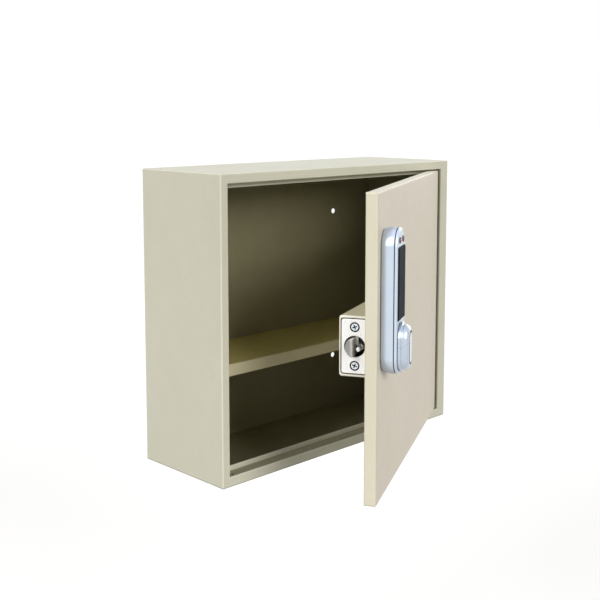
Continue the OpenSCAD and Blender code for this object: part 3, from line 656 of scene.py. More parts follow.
def makeBackPanel():
    # flat panel with wall holes and the shallow rings of its spot welds
    v = backValues
    piece = startBox("backPanel", v["low"], v["high"], [coat, insideShadeCoat])
    # the face inside the cabinet is painted darker as shade
    paint(1, lambda c, n: n.y < -0.9)
    halfX, halfZ = (s / 2 for s in v["spacing"])
    cutters = [
        startRod("cutter", v["hole"] / 2, (x, -3, z), (x, 3, z), [coat], 40)
        for x in (-halfX, halfX)
        for z in (-halfZ, halfZ)
    ]
    edgeX, edgeZ = v["high"][0] - v["weldInset"], v["high"][2] - v["weldInset"]
    spots = [(x, z) for x in (-edgeX, edgeX) for z in v["weldsUp"]]
    spots += [(x, z) for z in (-edgeZ, edgeZ) for x in v["weldsAcross"]]
    floor, face = v["weldRadii"]
    for x, z in spots:
        cutters.append(startRod("cutter", floor, (x, -v["weldDepth"], z), (x, 1, z), [coat], 20, face))
    cutAway(piece, cutters)
    return finishPiece(piece, "cabinet", ["back_panel"], softEdge=0.15)


shelfValues = {
    "low": (-200.8, -100.0, -65.1),
    "high": (200.8, -1.0, -50.3),
    "sheet": 1.0,
    "hem": 6.0,
    "bend": 1.5,
}


def makeShelf():
    v = shelfValues
    (_, y0, z0), (x1, _, z1) = v["low"], v["high"]
    piece = startBox("shelfTray", v["low"], v["high"], [shelfCoat, frontCoat])
    pick("FACE", lambda c, n: n.z < -0.9 or n.y > 0.9)
    bpy.ops.mesh.delete(type="FACE")
    pick("EDGE", lambda c, w: near(c.y, y0) and near(c.z, z0))
    extrude(0, v["hem"], 0)
    roundEdges(
        v["bend"],
        4,
        lambda c, w: (near(c.z, z1) and (near(c.y, y0) or near(abs(c.x), x1)))
        or (near(c.y, y0) and near(c.z, z0)),
    )
    thicken(piece, v["sheet"])
    bpy.ops.object.mode_set(mode="EDIT")
    paint(1, lambda c, n: n.y < -0.35 and c.y < y0 + v["bend"])
    return finishPiece(piece, "cabinet", ["shelf"])


strikeValues = {
    "low": (-200.8, -118.1, -23.6),
    "high": (-179.3, -115.9, 26.4),
    "foot": 27.8,
    "bend": 1.2,
    "corner": 3.0,
}


def makeStrike():
    v = strikeValues
    (x0, y0, z0), (x1, y1, z1) = v["low"], v["high"]
    piece = startBox("strikePlate", v["low"], v["high"], [zincPlate])
    cutPlane((x0 + y1 - y0, 0, 0), (1, 0, 0))
    pick("FACE", lambda c, n: n.y > 0.9 and c.x < x0 + y1 - y0)
    extrude(0, v["foot"], 0)
    roundEdges(v["bend"], 3, lambda c, w: near(c.x, x0) and near(c.y, y0) and abs(w.z) > 0.9)
    atTip = lambda c, w: near(c.x, x1) and (near(c.z, z0) or near(c.z, z1)) and abs(w.y) > 0.9
    roundEdges(v["corner"], 5, atTip)
    return finishPiece(piece, "cabinet", ["strike"], softEdge=0.3)


bufferValues = {
    "low": (-190.9, -129.4, -10.0),
    "high": (-185.9, -128.5, 10.0),
    "places": (-100, 100),  # heights of the two pads
    "corner": 1.6,
    "edge": 0.35,
}


def makeBuffers():
    v = bufferValues
    pad = startBox("doorBuffer1", v["low"], v["high"], [greyPad])
    roundEdges(v["corner"], 5, lambda c, w: abs(w.y) > 0.9)
    roundEdges(v["edge"], 3, lambda c, w: near(c.y, v["low"][1]))
    deselectAll()
    pads = [pad, copyPiece(pad, "doorBuffer2", z=v["places"][1])]
    activate(pad)
    pad.location.z = v["places"][0] * mm
    bpy.ops.object.transform_apply(location=True, rotation=False, scale=False)
    for piece in pads:
        finishPiece(piece, "cabinet", ["door_buffers"])


makeBodyShell()
makeBackPanel()
makeShelf()
makeStrike()
makeBuffers()
print("body made")


doorValues = {
    "low": (-189.3, -143.0, -164.1),
    "high": (178.0, -129.7, 165.0),
    "skin": 1.2,
    "hem": 9.0,
    "bend": 1.7,
    "hemBend": 1.5,
    "spindleHole": 12.0,
    "screwHole": 4.4,
}
lockScrewHeights = (-19.9, 103.2)  # from the knob's axis
boxStart = 16.0  # of the latch box, from the door's free edge
# Screws that hold the latch box: along it from its near end, and to each side of its middle
coverScrewStarts = (16.5, 93.0)
coverScrewSide = 38.2


def lockHoleCutters(y0, y1, spindleHole):
    x, z = layout["lockX"], layout["latchHeight"]
    holes = [(0, spindleHole)] + [(height, doorValues["screwHole"]) for height in lockScrewHeights]
    return [
        startRod("cutter", size / 2, (x, y0, z + height), (x, y1, z + height), [doorCoat], 32)
        for height, size in holes
    ]


def makeDoorPan():
    v = doorValues
    (x0, y0, z0), (x1, y1, z1) = v["low"], v["high"]
    piece = startBox("doorPan", v["low"], v["high"], [flangeCoat, doorCoat])
    pick("FACE", lambda c, n: n.y > 0.9)
    inset(v["hem"])
    bpy.ops.mesh.delete(type="FACE")
    roundEdges(
        v["bend"],
        4,
        lambda c, w: (near(c.x, x0) or near(c.x, x1)) and (near(c.z, z0) or near(c.z, z1)) and abs(w.y) > 0.9
        or near(c.y, y0),
    )
    roundEdges(
        v["hemBend"],
        4,
        lambda c, w: near(c.y, y1) and (near(c.x, x0) or near(c.x, x1) or near(c.z, z0) or near(c.z, z1)),
    )
    paint(1, lambda c, n: n.y < -0.7)
    thicken(piece, v["skin"])
    cutAway(piece, lockHoleCutters(y0 - 3, y0 + 5, v["spindleHole"]))
    return finishPiece(piece, "door", ["door_pan"], doorPlace)


linerValues = {
    "low": (-187.8, -131.8, -162.6),
    "high": (176.5, -130.9, 163.5),
    "spindleHole": 10.0,
    "coverScrewHole": 3.4,
    "weldInset": 14,
    "weldsUp": (-120, -60, 60, 120),
    "weldsAcross": (-120, -40, 40, 120),
    "weldDepth": 0.2,
    "weldRadii": (2.2, 3.0),
}


def makeDoorLiner():
    v = linerValues
    low, high = v["low"], v["high"]
    piece = startBox("doorLiner", low, high, [flangeCoat])
    cutters = lockHoleCutters(low[1] - 2, high[1] + 2, v["spindleHole"])
    for s in coverScrewStarts:
        for side in (-coverScrewSide, coverScrewSide):
            x, z = layout["doorLeft"] + boxStart + s, layout["latchHeight"] + side
            start, end = (x, low[1] - 2, z), (x, high[1] + 2, z)
            cutters.append(startRod("cutter", v["coverScrewHole"] / 2, start, end, [flangeCoat], 20))
    edgeX = (low[0] + v["weldInset"], high[0] - v["weldInset"])
    edgeZ = (low[2] + v["weldInset"], high[2] - v["weldInset"])
    spots = [(x, z) for x in edgeX for z in v["weldsUp"]]
    spots += [(x, z) for z in edgeZ for x in v["weldsAcross"]]
    floor, face = v["weldRadii"]
    for x, z in spots:
        start, end = (x, high[1] - v["weldDepth"], z), (x, high[1] + 1, z)
        cutters.append(startRod("cutter", floor, start, end, [flangeCoat], 20, face))
    cutAway(piece, cutters)
    return finishPiece(piece, "door", ["door_liner"], doorPlace, softEdge=0.15)


makeDoorPan()
makeDoorLiner()
print("door made")


latchBoxValues = {
    "end": 120.0,
    "bottom": 12.1,
    "nearTop": 44.8,
    "farTop": 35.0,
    "half": 32.7,
    "sheet": 1.2,
    "longRound": 3.0,
    "endRound": 1.5,
    "foot": 11.0,
    "footBend": 1.3,
    "footCorner": 4.0,
    "plateGap": 1.2,
    "plateCorner": 2.8,
}


def makeLatchBox():
    v = latchBoxValues
    s0, s1, half = boxStart, v["end"], v["half"]
    bottom, top, far = v["bottom"], v["nearTop"], v["farTop"]
    piece = startBox("latchBox", (s0, bottom, -half), (s1, top, half), [frontCoat, latchEndLightCoat])
    pick("VERT", lambda c, n: near(c.x, s1) and near(c.y, top))
    move(0, far - top, 0)
    pick("FACE", lambda c, n: n.y < -0.9)
    bpy.ops.mesh.delete(type="FACE")
    for s in (s0 + v["foot"] / 2, s1 - v["foot"] / 2):
        cutPlane((s, 0, 0), (1, 0, 0))
    atRim = lambda c, side: near(c.y, bottom) and near(c.z, side * half)
    for side in (-1, 1):
        pick("EDGE", lambda c, w: atRim(c, side) and s0 + 5 < c.x < s1 - 5 and abs(w.x) > 0.9)
        extrude(0, 0, side * v["foot"])
    along = lambda c, w: near(abs(c.z), half) and c.y > bottom + 5 and abs(w.x) > 0.9
    atEnds = lambda c, w: (near(c.x, s0) or near(c.x, s1)) and abs(w.x) < 0.5 and c.y > bottom + 0.1
    atFoot = lambda c, w: near(c.y, bottom) and near(abs(c.z), half) and s0 + 5.6 < c.x < s1 - 5.6
    footEnds = lambda c, w: near(c.y, bottom) and near(abs(c.z), half + v["foot"]) and abs(w.y) > 0.9
    roundEdges(v["longRound"], 6, along)
    roundEdges(v["endRound"], 4, atEnds)
    roundEdges(v["footBend"], 3, atFoot)
    roundEdges(v["footCorner"], 5, footEnds)
    # the near end, which faces the light, gets the paler coat as painted light
    paint(1, lambda c, n: n.x < -0.3 and c.x < s0 + 2)
    thicken(piece, v["sheet"])
    (p0, n0, q0), (_, n1, q1) = latchPlateValues["low"], latchPlateValues["high"]
    gap = v["plateGap"]
    cutter = startBox("cutter", (p0 - 3, n0 - gap, q0 - gap), (p0 + 3, n1 + gap, q1 + gap), [latchEndLightCoat])
    roundEdges(v["plateCorner"], 4, lambda c, w: abs(w.x) > 0.9)
    cutAway(piece, [cutter])
    return finishPiece(piece, "door", ["latch_cover"], latchPlace)


latchPlateValues = {
    "low": (16.0, 13.4, -29.0),
    "high": (18.4, 42.0, 29.0),
    "centre": 27.7,
    "corner": 2.3,
    "edge": 0.5,
    "boltHole": 22.5,
    "holeChamfer": 0.5,
    "screwGap": 41.3,
    "screwHole": 4.4,
    "screwHead": 7.8,
    "sinkOver": 1.5,  # how much wider than the head the black sink of painted shade is, all round
    "sinkDepth": 1.9,
    "sinkTaper": 2.0,
}


def makeLatchPlate():
    v = latchPlateValues
    p0, p1 = v["low"][0], v["high"][0]
    hole, centre = v["boltHole"] / 2, v["centre"]
    screwPlaces = [side * v["screwGap"] / 2 for side in (-1, 1)]
    piece = startBox("latchPlate", v["low"], v["high"], [platedNickel])
    roundEdges(v["corner"], 5, lambda c, w: abs(w.x) > 0.9)
    roundEdges(v["edge"], 2, lambda c, w: near(c.x, p0))
    cutters = [startRod("cutter", hole, (p0 - 2, centre, 0), (p1 + 2, centre, 0), [platedNickel], 64)]
    for z in screwPlaces:
        start, end = (p0 - 2, centre, z), (p1 + 2, centre, z)
        cutters.append(startRod("cutter", v["screwHole"] / 2, start, end, [platedNickel], 32))
    cutAway(piece, cutters)
    # black sinks round the screws as painted shade, and a chamfer round the bolt's hole
    cutters = []
    for z in screwPlaces:
        wide = v["screwHead"] / 2 + v["sinkOver"]
        start, end = (p0 - 0.05, centre, z), (p0 + v["sinkDepth"], centre, z)
        cutters.append(startRod("cutter", wide, start, end, [blackGap], 48, wide - v["sinkTaper"]))
    chamfer = v["holeChamfer"]
    start, end = (p0 - 0.1, centre, 0), (p0 + chamfer, centre, 0)
    cutters.append(startRod("cutter", hole + chamfer, start, end, [platedNickel], 64, hole - 0.1))
    cutAway(piece, cutters)
    return finishPiece(piece, "door", ["face_plate"], latchPlace, smooth=30)


def makeCross(width, top, depth, taper=0.55):
    # the two arms of a cross-shaped punch that points down along Z and gets narrower; its cut faces are
    # black as painted shade in the recess
    arms = []
    for turned in (False, True):
        wide, thin = width / 2, width / 9
        halfX, halfY = (thin, wide) if turned else (wide, thin)
        arm = startBox("cutter", (-halfX, -halfY, top - depth), (halfX, halfY, top + 1), [blackGap])
        pick("FACE", lambda c, n: n.z < -0.9)
        bpy.ops.transform.resize(value=(taper, taper, 1))
        arms.append(arm)
    return arms


def cutCross(head, name, width, top, depth):
    # the recess in a screw's head, painted black as shade, and a fine rounding all over the screw
    deselectAll()
    for arm in makeCross(width, top, depth):
        cutAway(head, [arm])
    head.name = head.data.name = name
    softenEdges(head, 0.08, 55, 1)
    return head


def makePanScrew(name, v):
    # domed head on Z = 0 with its shank going down
    radius, height = v["head"], v["height"]
    head = startRod("screwHead", radius, (0, 0, 0), (0, 0, height), [zincPlate], 48)
    roundEdges(height * 0.75, 5, lambda c, w: near(c.z, height))
    pick("FACE", lambda c, n: n.z < -0.9)
    inset(radius - v["shank"])
    extrude(0, 0, -v["length"])
    return cutCross(head, name, radius * 1.1, height, 1.6)


def seatScrews(stem, first, node, place, seats, tilt, spins, smooth=34):
    # copies the first screw, and turns each one into its seat
    pieces = [first] + [copyPiece(first, f"{stem}{i}") for i in range(2, len(seats) + 1)]
    for piece, seat, spin in zip(pieces, seats, spins):
        turn = tilt @ turnBy(spin, "Z")
        finishPiece(piece, "door", [node], place @ shiftBy(*seat) @ turn, smooth=smooth)


plateScrewValues = {"shank": 1.9, "height": 2, "rim": 0.35, "dome": 0.12, "length": 4, "spins": (-20, 20)}


def makePlateScrews():
    # flat head at Z = 0 with its shank going down
    v, plate = plateScrewValues, latchPlateValues
    wide = plate["screwHead"] / 2
    head = startRod("screwHead", v["shank"], (0, 0, -v["height"]), (0, 0, 0), [blueZinc], 48, wide)
    pick("FACE", lambda c, n: n.z > 0.9)
    inset(v["rim"])
    move(0, 0, v["dome"])
    pick("FACE", lambda c, n: n.z < -0.9)
    extrude(0, 0, -v["length"])
    first = cutCross(head, "plateScrew1", 6.6, 0.1, 1.7)
    seats = [(plate["low"][0], plate["centre"], side * plate["screwGap"] / 2) for side in (-1, 1)]
    tilt = turnBy(-90, "Y")
    seatScrews("plateScrew", first, "face_plate_screws", latchPlace, seats, tilt, v["spins"], 30)


coverScrewValues = {"seat": 13.3, "head": 4.0, "height": 2.2, "shank": 1.6, "length": 4.5}


def makeCoverScrews():
    v = coverScrewValues
    first = makePanScrew("coverScrew1", v)
    places = [(s, z) for s in coverScrewStarts for z in (-coverScrewSide, coverScrewSide)]
    seats = [(boxStart + s, v["seat"], z) for s, z in places]
    spins = [37 * i for i in range(4)]
    seatScrews("coverScrew", first, "cover_screws", latchPlace, seats, turnBy(-90, "X"), spins)


lockScrewValues = {"seat": -12.1, "head": 3.75, "height": 2.4, "shank": 1.4, "length": 20, "spins": (15, 60)}


def makeLockScrews():
    v = lockScrewValues
    first = makePanScrew("lockScrew1", v)
    seats = [(0, height, v["seat"]) for height in lockScrewHeights]
    seatScrews("lockScrew", first, "lock_screws", lockPlace, seats, turnBy(180, "X"), v["spins"])


boltValues = {
    "tip": 5.0,
    "rear": 27.0,
    "flat": 27.5,
    "radius": 9.6,
    "blunt": 1.4,
    "slant": (-8.3, 12.5),  # which way the slanted face looks
    "edge": 0.55,
    "yokeLow": (17.7, 24.1, 1.6),
    "yokeHigh": (33.4, 27.51, 15.0),
    "slotLow": (19.1, 23.1, 3.0),
    "slotHigh": (25.9, 28.6, 13.6),
    "rodHeight": 32.0,
    "rodRadius": 2.5,
    "rodEnd": 62.0,
    "rodRound": 0.6,
}


def makeBolt():
    v = boltValues
    start, end = (v["tip"], v["flat"], 0), (v["rear"], v["flat"], 0)
    piece = startRod("latchBolt", v["radius"], start, end, [boltNickel], 72)
    # half of the rod is the bolt, and its tip is cut at a slant
    cutPlane((0, v["flat"], 0), (0, 1, 0), "inner")
    cutPlane((v["tip"] - 1, v["flat"] + v["blunt"], 0), (*v["slant"], 0), "outer")
    softenEdges(piece, v["edge"], 38, 3)
    yoke = startBox("yoke", v["yokeLow"], v["yokeHigh"], [boltNickel])
    cutAway(yoke, [startBox("cutter", v["slotLow"], v["slotHigh"], [boltNickel])])
    softenEdges(yoke, 0.3, 50)
    start, end = (v["rear"] - 1, v["rodHeight"], 0), (v["rodEnd"], v["rodHeight"], 0)
    rod = startRod("rod", v["rodRadius"], start, end, [boltNickel], 32)
    roundEdges(v["rodRound"], 3, lambda c, w: near(c.x, v["rodEnd"]))
    piece = joinPieces("latchBolt", [piece, yoke, rod])
    return finishPiece(piece, "bolt", ["latch_bolt"], latchPlace, smooth=30)


plungerValues = {
    "tip": 11.0,
    "collar": 24.0,
    "centre": (23.3, -2.0),
    "radius": 2.5,
    "tipRound": 1.7,
    "collarRadius": 3.2,
    "tail": 44.2,
}


def makePlunger():
    v = plungerValues
    n, z = v["centre"]
    pin = startRod("guardPlunger", v["radius"], (v["tip"], n, z), (v["collar"], n, z), [platedNickel], 40)
    roundEdges(v["tipRound"], 6, lambda c, w: near(c.x, v["tip"]))
    front, back = v["collar"] - 0.3, v["collar"] + 0.7
    collar = startRod("collar", v["collarRadius"], (front, n, z), (back, n, z), [platedNickel], 40)
    roundEdges(0.2, 2, lambda c, w: near(c.x, front) or near(c.x, back))
    tail = startRod("tail", v["radius"] / 2, (v["collar"], n, z), (v["tail"], n, z), [platedNickel], 24)
    piece = joinPieces("guardPlunger", [pin, collar, tail])
    return finishPiece(piece, "plunger", ["guard_plunger"], latchPlace)


springValues = {
    # start, end, outside diameter, wire, turns, centre (n, z)
    "boltSpring": (27.3, 51.7, 7.4, 0.8, 9, (32.0, 0.0)),
    "plungerSpring": (25.0, 37.7, 4.5, 0.6, 8, (23.3, -2.0)),
}


def makeSpring(name, node):
    # wound from a small circle
    start, end, across, wire, turns, (n, z) = springValues[name]
    radius = (across - wire) / 2
    deselectAll()
    bpy.ops.mesh.primitive_circle_add(
        vertices=10, radius=wire / 2 * mm, location=((start + wire / 2) * mm, radius * mm, 0)
    )
    piece = openForEditing(name, [springSteel])
    deselectAll()
    useModifier(
        piece,
        "SCREW",
        axis="X",
        angle=math.radians(360),
        screw_offset=(end - start - wire) / turns * mm,
        iterations=turns,
        steps=20,
        render_steps=20,
        use_merge_vertices=False,
    )
    bpy.ops.object.mode_set(mode="EDIT")
    bpy.ops.mesh.select_all(action="SELECT")
    bpy.ops.mesh.fill_holes(sides=0)
    bpy.ops.mesh.select_all(action="SELECT")
    bpy.ops.mesh.normals_make_consistent(inside=False)
    finishPiece(piece, "door", [node], latchPlace @ shiftBy(0, n, z), smooth=60)
    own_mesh(piece)


makeLatchBox()
makeLatchPlate()
makePlateScrews()
makeCoverScrews()
makeLockScrews()
makeBolt()
makePlunger()
makeSpring("boltSpring", "bolt_spring")
makeSpring("plungerSpring", "plunger_spring")
print("latch made")


lockValues = {
    "width": 40.0,
    "height": 155.0,
    "middle": 48.6,  # of the housing above the knob's axis
    "back": 1.0,
    "face": 18.0,
    "wall": 2.2,
    "frontEdge": 2.2,
    # height and draw-in of the curved sides, from the back to the groove
    "sides": ((2.6, 1.25), (4.4, 0.7), (6.6, 0.3), (9.2, 0.06), (11.8, 0.0)),
    "backDrawIn": 1.9,
    "faceDrawIn": 0.8,
    "grooveAt": (14.2, 15.2),
    "grooveDrawIn": (0.2, 0.35),
    "grooveDepth": 0.7,
    "hollowDrawIn": 1.2,  # of the hollow's sides, beyond the wall
    "pocketGap": 0.2,  # round the reader panel
    "pocketCorner": 1.8,
    "spindleBore": 8.1,
    "lampHole": 5.6,
    "boss": 8.0,
    "bossHole": 3.0,
}


def startCapsule(name, width, height, low, high, materials, middle=0, sides=64):
    # an upright slab with round ends
    piece = startRod(name, width / 2, (0, 0, low), (0, 0, high), materials, sides)
    straight = (height - width) / 2
    for side in (-1, 1):
        pick("VERT", lambda c, n: c.y * side > 0.01)
        move(0, side * straight, 0)
    bpy.ops.mesh.select_all(action="SELECT")
    move(0, middle, 0)
    return piece


def makeLockHousing():
    v = lockValues
    back, face, middle = v["back"], v["face"], v["middle"]
    finishes = [silver, blackGap]
    piece = startCapsule("lockHousing", v["width"], v["height"], back, face, finishes, middle, 96)
    for z in [z for z, step in v["sides"]] + list(v["grooveAt"]):
        cutPlane((0, 0, z), (0, 0, 1))
    ends = ((back, v["backDrawIn"]), *zip(v["grooveAt"], v["grooveDrawIn"]), (face, v["faceDrawIn"]))
    for z, step in v["sides"] + ends:
        shrinkRing(z, step, v["width"], v["height"], middle)
    roundEdges(v["frontEdge"], 7, lambda c, w: near(c.z, face))
    g0, g1 = v["grooveAt"]
    pick("FACE", lambda c, n: g0 < c.z < g1 and abs(n.z) < 0.5)
    bpy.ops.mesh.extrude_region_shrink_fatten(
        TRANSFORM_OT_shrink_fatten={"value": -v["grooveDepth"] * mm}
    )
    # the groove is painted black as shade
    paint(1)
    inside = (size - 2 * v["wall"] - 2 * v["hollowDrawIn"] for size in (v["width"], v["height"]))
    cutAway(piece, [startCapsule("cutter", *inside, back - 2, face - v["wall"], [silver], middle)])
    (a0, b0), (a1, b1), gap = readerValues["low"], readerValues["high"], v["pocketGap"]
    pocket = startBox("cutter", (a0 - gap, b0 - gap, face - 1), (a1 + gap, b1 + gap, face + 4), [silver])
    roundEdges(v["pocketCorner"], 4, lambda c, w: abs(w.z) > 0.9)
    bore = startRod("cutter", v["spindleBore"] / 2, (0, 0, back - 2), (0, 0, face + 3), [silver], 40)
    cutters = [pocket, bore]
    for side in (-1, 1):
        x, y = side * lampValues["gap"] / 2, lampValues["height"]
        cutters.append(startRod("cutter", v["lampHole"] / 2, (x, y, 8), (x, y, face + 3), [silver], 32))
    for cutter in cutters:
        cutAway(piece, [cutter])
    bosses = []
    for height in lockScrewHeights:
        start, end = (0, height, back + 1.5), (0, height, face - v["wall"] + 0.4)
        boss = startRod("boss", v["boss"] / 2, start, end, [silver], 32)
        hole = startRod("cutter", v["bossHole"] / 2, (0, height, 0), (0, height, 10), [silver], 24)
        cutAway(boss, [hole])
        bosses.append(boss)
    piece = joinPieces("lockHousing", [piece] + bosses)
    return finishPiece(piece, "door", ["lock_housing"], lockPlace, smooth=30)


gasketValues = {"inset": 2.5, "band": 2.5}


def makeGasket():
    # rubber ring under the housing, a little smaller than its foot
    v, lock = gasketValues, lockValues
    wide, tall = (size - 2 * v["inset"] for size in (lock["width"], lock["height"]))
    back, middle, band = lock["back"], lock["middle"], 2 * v["band"]
    piece = startCapsule("lockGasket", wide, tall, 0, back, [rubber], middle)
    ring = startCapsule("cutter", wide - band, tall - band, -1, back + 1, [rubber], middle)
    cutAway(piece, [ring])
    return finishPiece(piece, "door", ["lock_gasket"], lockPlace, softEdge=0.2)


readerValues = {
    "low": (-16.5, 29.2),
    "high": (16.5, 106.2),
    "top": 19.4,
    "corner": 1.6,
    "bevel": 1.2,
    "edge": 0.28,
}


def makeReaderPanel():
    v = readerValues
    low, high = (*v["low"], lockValues["face"] - 1), (*v["high"], v["top"])
    piece = startBox("readerPanel", low, high, [panelPlastic])
    roundEdges(v["corner"], 5, lambda c, w: abs(w.z) > 0.9)
    roundEdges(v["bevel"], 1, lambda c, w: near(c.z, v["top"]))
    softenEdges(piece, v["edge"], 35)
    return finishPiece(piece, "door", ["reader_panel"], lockPlace, smooth=25)


lampValues = {
    "gap": 16.0,  # between the two lamps' middles
    "height": 113.1,  # above the knob's axis
    "bezel": 7.0,
    "bezelTop": 0.8,
    "bezelEdge": 0.35,
    "lens": 4.0,
    "lensGap": 0.15,
    "well": 3,
    "shank": (0.7, 2.2),  # how much thinner than the bezel, and how long
    "dome": 1.5,
    "domeRound": 1.4,
}


def makeLamps():
    v, face = lampValues, lockValues["face"]
    y, radius, lens = v["height"], v["bezel"] / 2, v["lens"] / 2
    top, dome = face + v["bezelTop"], face + v["dome"]
    thinner, length = v["shank"]
    ring = startRod("lampBezel1", radius, (0, y, face), (0, y, top), [bezelMetal, blackGap], 48)
    pick("FACE", lambda c, n: n.z > 0.9)
    inset(radius - lens - v["lensGap"])
    extrude(0, 0, -v["well"])
    roundEdges(v["bezelEdge"], 3, lambda c, w: near(c.z, top))
    pick("FACE", lambda c, n: n.z < -0.9 and c.z > face - 0.1)
    inset(thinner)
    extrude(0, 0, -length)
    deselectAll()
    lamp = startRod("redLamp", lens, (0, y, face - length), (0, y, dome), [redLens], 40)
    roundEdges(v["domeRound"], 8, lambda c, w: near(c.z, dome))
    deselectAll()
    rings = [ring, copyPiece(ring, "lampBezel2")]
    lamps = [lamp, copyPiece(lamp, "blueLamp")]
    lamps[1].data.materials[0] = blueLens
    names = (("red_lamp", "red_lens"), ("blue_lamp", "blue_lens"))
    for side, bezel, lamp, (node, slot) in zip((-1, 1), rings, lamps, names):
        place = lockPlace @ shiftBy(side * v["gap"] / 2, 0, 0)
        finishPiece(bezel, "door", ["lamp_bezels"], place)
        finishPiece(lamp, "door", [node], place)


knobValues = {
    "width": 34.0,
    "height": 53.0,
    "low": 18.4,
    "high": 29.0,
    "plate": 3.0,
    "step": 2.3,
    "crown": 6.4,
    "rimEdge": 1.1,
    "stepEdge": 0.7,
    "backEdge": 0.6,
    "recess": (14.0, 36.0, 0.9),  # width, height and depth, for the badge
    "bore": (8.1, 7),  # across and depth
}


def makeKnob():
    v = knobValues
    low, high = v["low"], v["high"]
    seat = low + v["plate"]
    piece = startCapsule("lockKnob", v["width"], v["height"], low, seat, [knobSilver, blackGap])
    pick("FACE", lambda c, n: n.z > 0.9)
    inset(v["step"])
    extrude(0, 0, high - seat)
    roundEdges(v["crown"], 12, lambda c, w: near(c.z, high))
    # distance from the middle line of the capsule tells the base's rim from the foot of the crown
    straight = (v["height"] - v["width"]) / 2
    outness = lambda c: math.hypot(c.x, max(abs(c.y) - straight, 0))
    rim, foot = v["width"] / 2 - 0.1, v["width"] / 2 - v["step"] + 0.1
    roundEdges(v["rimEdge"], 4, lambda c, w: near(c.z, seat) and outness(c) > rim)
    roundEdges(v["stepEdge"], 3, lambda c, w: near(c.z, seat) and outness(c) < foot)
    roundEdges(v["backEdge"], 2, lambda c, w: near(c.z, low))
    (wide, tall, depth), (across, boreDepth) = v["recess"], v["bore"]
    # the badge's recess is cut in black as painted shade
    recess = startCapsule("cutter", wide, tall, high - depth, high + 3, [blackGap])
    bore = startRod("cutter", across / 2, (0, 0, low - 2), (0, 0, low + boreDepth), [knobSilver], 40)
    for cutter in (recess, bore):
        cutAway(piece, [cutter])
    return finishPiece(piece, "knob", ["lock_knob"], lockPlace, smooth=30)


badgeValues = {"gap": 0.85, "proud": 0.2, "step": 0.3, "rim": 1.1, "edge": 0.18}


def makeBadge():
    # plain plate with a raised middle, nothing on it; its sides and outer rim are black as painted shade
    v = badgeValues
    (wide, tall, depth), knobTop = knobValues["recess"], knobValues["high"]
    wide, tall, high = wide - 2 * v["gap"], tall - 2 * v["gap"], knobTop + v["proud"]
    finishes = [blackGap, badgePlate]
    piece = startCapsule("knobBadge", wide, tall, knobTop - depth, high - v["step"], finishes)
    pick("FACE", lambda c, n: n.z > 0.9)
    inset(v["rim"])
    extrude(0, 0, v["step"])
    paint(1)
    softenEdges(piece, v["edge"], 50)
    return finishPiece(piece, "knob", ["knob_badge"], lockPlace)


makeLockHousing()
makeGasket()
makeReaderPanel()
makeLamps()
makeKnob()
makeBadge()
print("lock made")


# Finishes of the frame's own nodes
nodeFinishes = {
    # the hinge's parts take the near-black of painted shade
    "hinge_frame_leaf": hingeDarkAsShade,
    "hinge_door_leaf": hingeDarkAsShade,
    "hinge_pin": hingeDarkAsShade,
    "lock_channel": zincPlate,
    "latch_base": zincPlate,
    "latch_case": rawZinc,
    "lock_back_plate": zincPlate,
    "circuit_board": board,
    "battery_tray": darkPlastic,
    "batteries": cellSleeve,
    "actuator": darkPlastic,
    "blocking_pin": zincPlate,
    "lock_wheel": rawZinc,
    "spindle": zincPlate,
    "drive_cam": rawZinc,
}
for name, material in nodeFinishes.items():
    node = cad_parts[name]
    for materialSlot in node.material_slots:
        materialSlot.material = material
print("frame's nodes finished")


stageValues = {
    "floor": -520.0,
    "floorSize": 60,  # m
    "lampDistance": 3,  # m
    "floorColour": "#96948E",
    "floorGlow": 0.72,
    "ambient": 0.18,
    # direction to the lamp, strength, spread in degrees, colour
    "lamps": {
        "leftLamp": ((-0.84, 0.0, 0.52), 2.32, 30, "#FFFFFF"),
        "frontLamp": ((-0.05, -0.90, 0.40), 2.1, 30, "#FFFFFF"),
        "rightLamp": ((0.95, 0.20, 0.22), 0.7, 40, "#FFFFFF"),
        "backLamp": ((-0.1, 0.93, 0.35), 0.85, 40, "#FFFFFF"),
        "topLamp": ((0.0, 0.0, 1.0), 0.26, 40, "#84A8FF"),
    },
}


def seenDirectly(tree):
    # 1 for what the camera sees straight on, in metal or through glass, and 0 for light that spreads
    path = addNode(tree, "ShaderNodeLightPath")
    seen = path.outputs["Is Camera Ray"]
    for kind in ("Is Glossy Ray", "Is Transmission Ray"):
        either = addNode(
            tree, "ShaderNodeMath", links={0: seen, 1: path.outputs[kind]}, operation="MAXIMUM"
        )
        seen = either.outputs[0]
    return seen


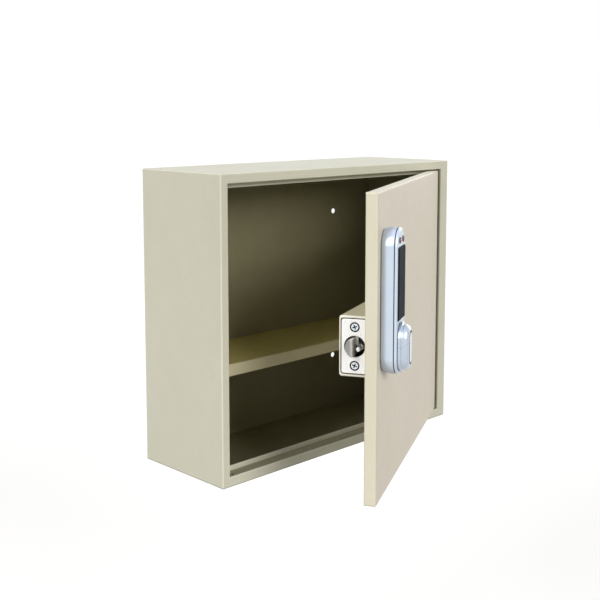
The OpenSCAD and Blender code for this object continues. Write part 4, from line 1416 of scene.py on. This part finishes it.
def makeStage():
    v = stageValues
    deselectAll()
    bpy.ops.mesh.primitive_plane_add(size=v["floorSize"], location=(0, 0, v["floor"] * mm))
    floor = bpy.context.object
    floor.name = floor.data.name = "floor"
    # Matt studio floor
    material, tree, surface, _ = startMaterial("paleFloor", Roughness=0.9, Specular_IOR_Level=0.1)
    surface.inputs["Base Color"].default_value = fromHex(v["floorColour"])
    seen = seenDirectly(tree)
    glow = addNode(tree, "ShaderNodeMath", {1: v["floorGlow"]}, {0: seen}, operation="MULTIPLY")
    light = addNode(tree, "ShaderNodeEmission", {"Color": (1, 1, 1, 1)}, {"Strength": glow.outputs[0]})
    both = addNode(tree, "ShaderNodeAddShader", links={0: surface.outputs[0], 1: light.outputs[0]})
    output = next(n for n in tree.nodes if n.type == "OUTPUT_MATERIAL")
    tree.links.new(both.outputs[0], output.inputs["Surface"])
    floor.data.materials.append(material)

    world = bpy.data.worlds.new("studio")
    bpy.context.scene.world = world
    world.use_nodes = True
    tree = world.node_tree
    tree.nodes.clear()
    strength = addNode(
        tree, "ShaderNodeMapRange", {"To Min": v["ambient"], "To Max": 1.0}, {"Value": seenDirectly(tree)}
    ).outputs["Result"]
    back = addNode(tree, "ShaderNodeBackground", {"Color": (1, 1, 1, 1)}, {"Strength": strength})
    addNode(tree, "ShaderNodeOutputWorld", links={"Surface": back.outputs[0]})

    for name, (way, power, wide, colour) in v["lamps"].items():
        deselectAll()
        bpy.ops.object.light_add(type="SUN", location=Vector(way) * v["lampDistance"])
        lamp = bpy.context.object
        lamp.name = lamp.data.name = name
        lamp.rotation_euler = Vector(way).to_track_quat("Z", "Y").to_euler()
        lamp.data.energy = power
        lamp.data.color = fromHex(colour)[:3]
        lamp.data.angle = math.radians(wide)


cameraValues = {
    "place": (-915.7, -992.1, 251.2),
    "yaw": 44.52,
    "pitch": -6.48,
    "focal": 1019.2,  # in pixels of the render
    "horizon": 222,  # row of the render where the camera's own level falls
    "frame": 600,  # width of the render in pixels
    "sensor": 36,  # mm
}


def makeCamera():
    v = cameraValues
    deselectAll()
    bpy.ops.object.camera_add(
        location=Vector(v["place"]) * mm,
        rotation=(math.radians(90 + v["pitch"]), 0, math.radians(-v["yaw"])),
    )
    camera = bpy.context.object
    camera.name = camera.data.name = "studioCamera"
    camera.data.sensor_width = v["sensor"]
    camera.data.lens = v["focal"] / v["frame"] * v["sensor"]
    camera.data.shift_y = -(v["frame"] / 2 - v["horizon"]) / v["frame"]
    camera.data.clip_start = 0.05
    bpy.context.scene.camera = camera


makeStage()
makeCamera()
bpy.context.scene.view_settings.view_transform = "Standard"
print("stage made")
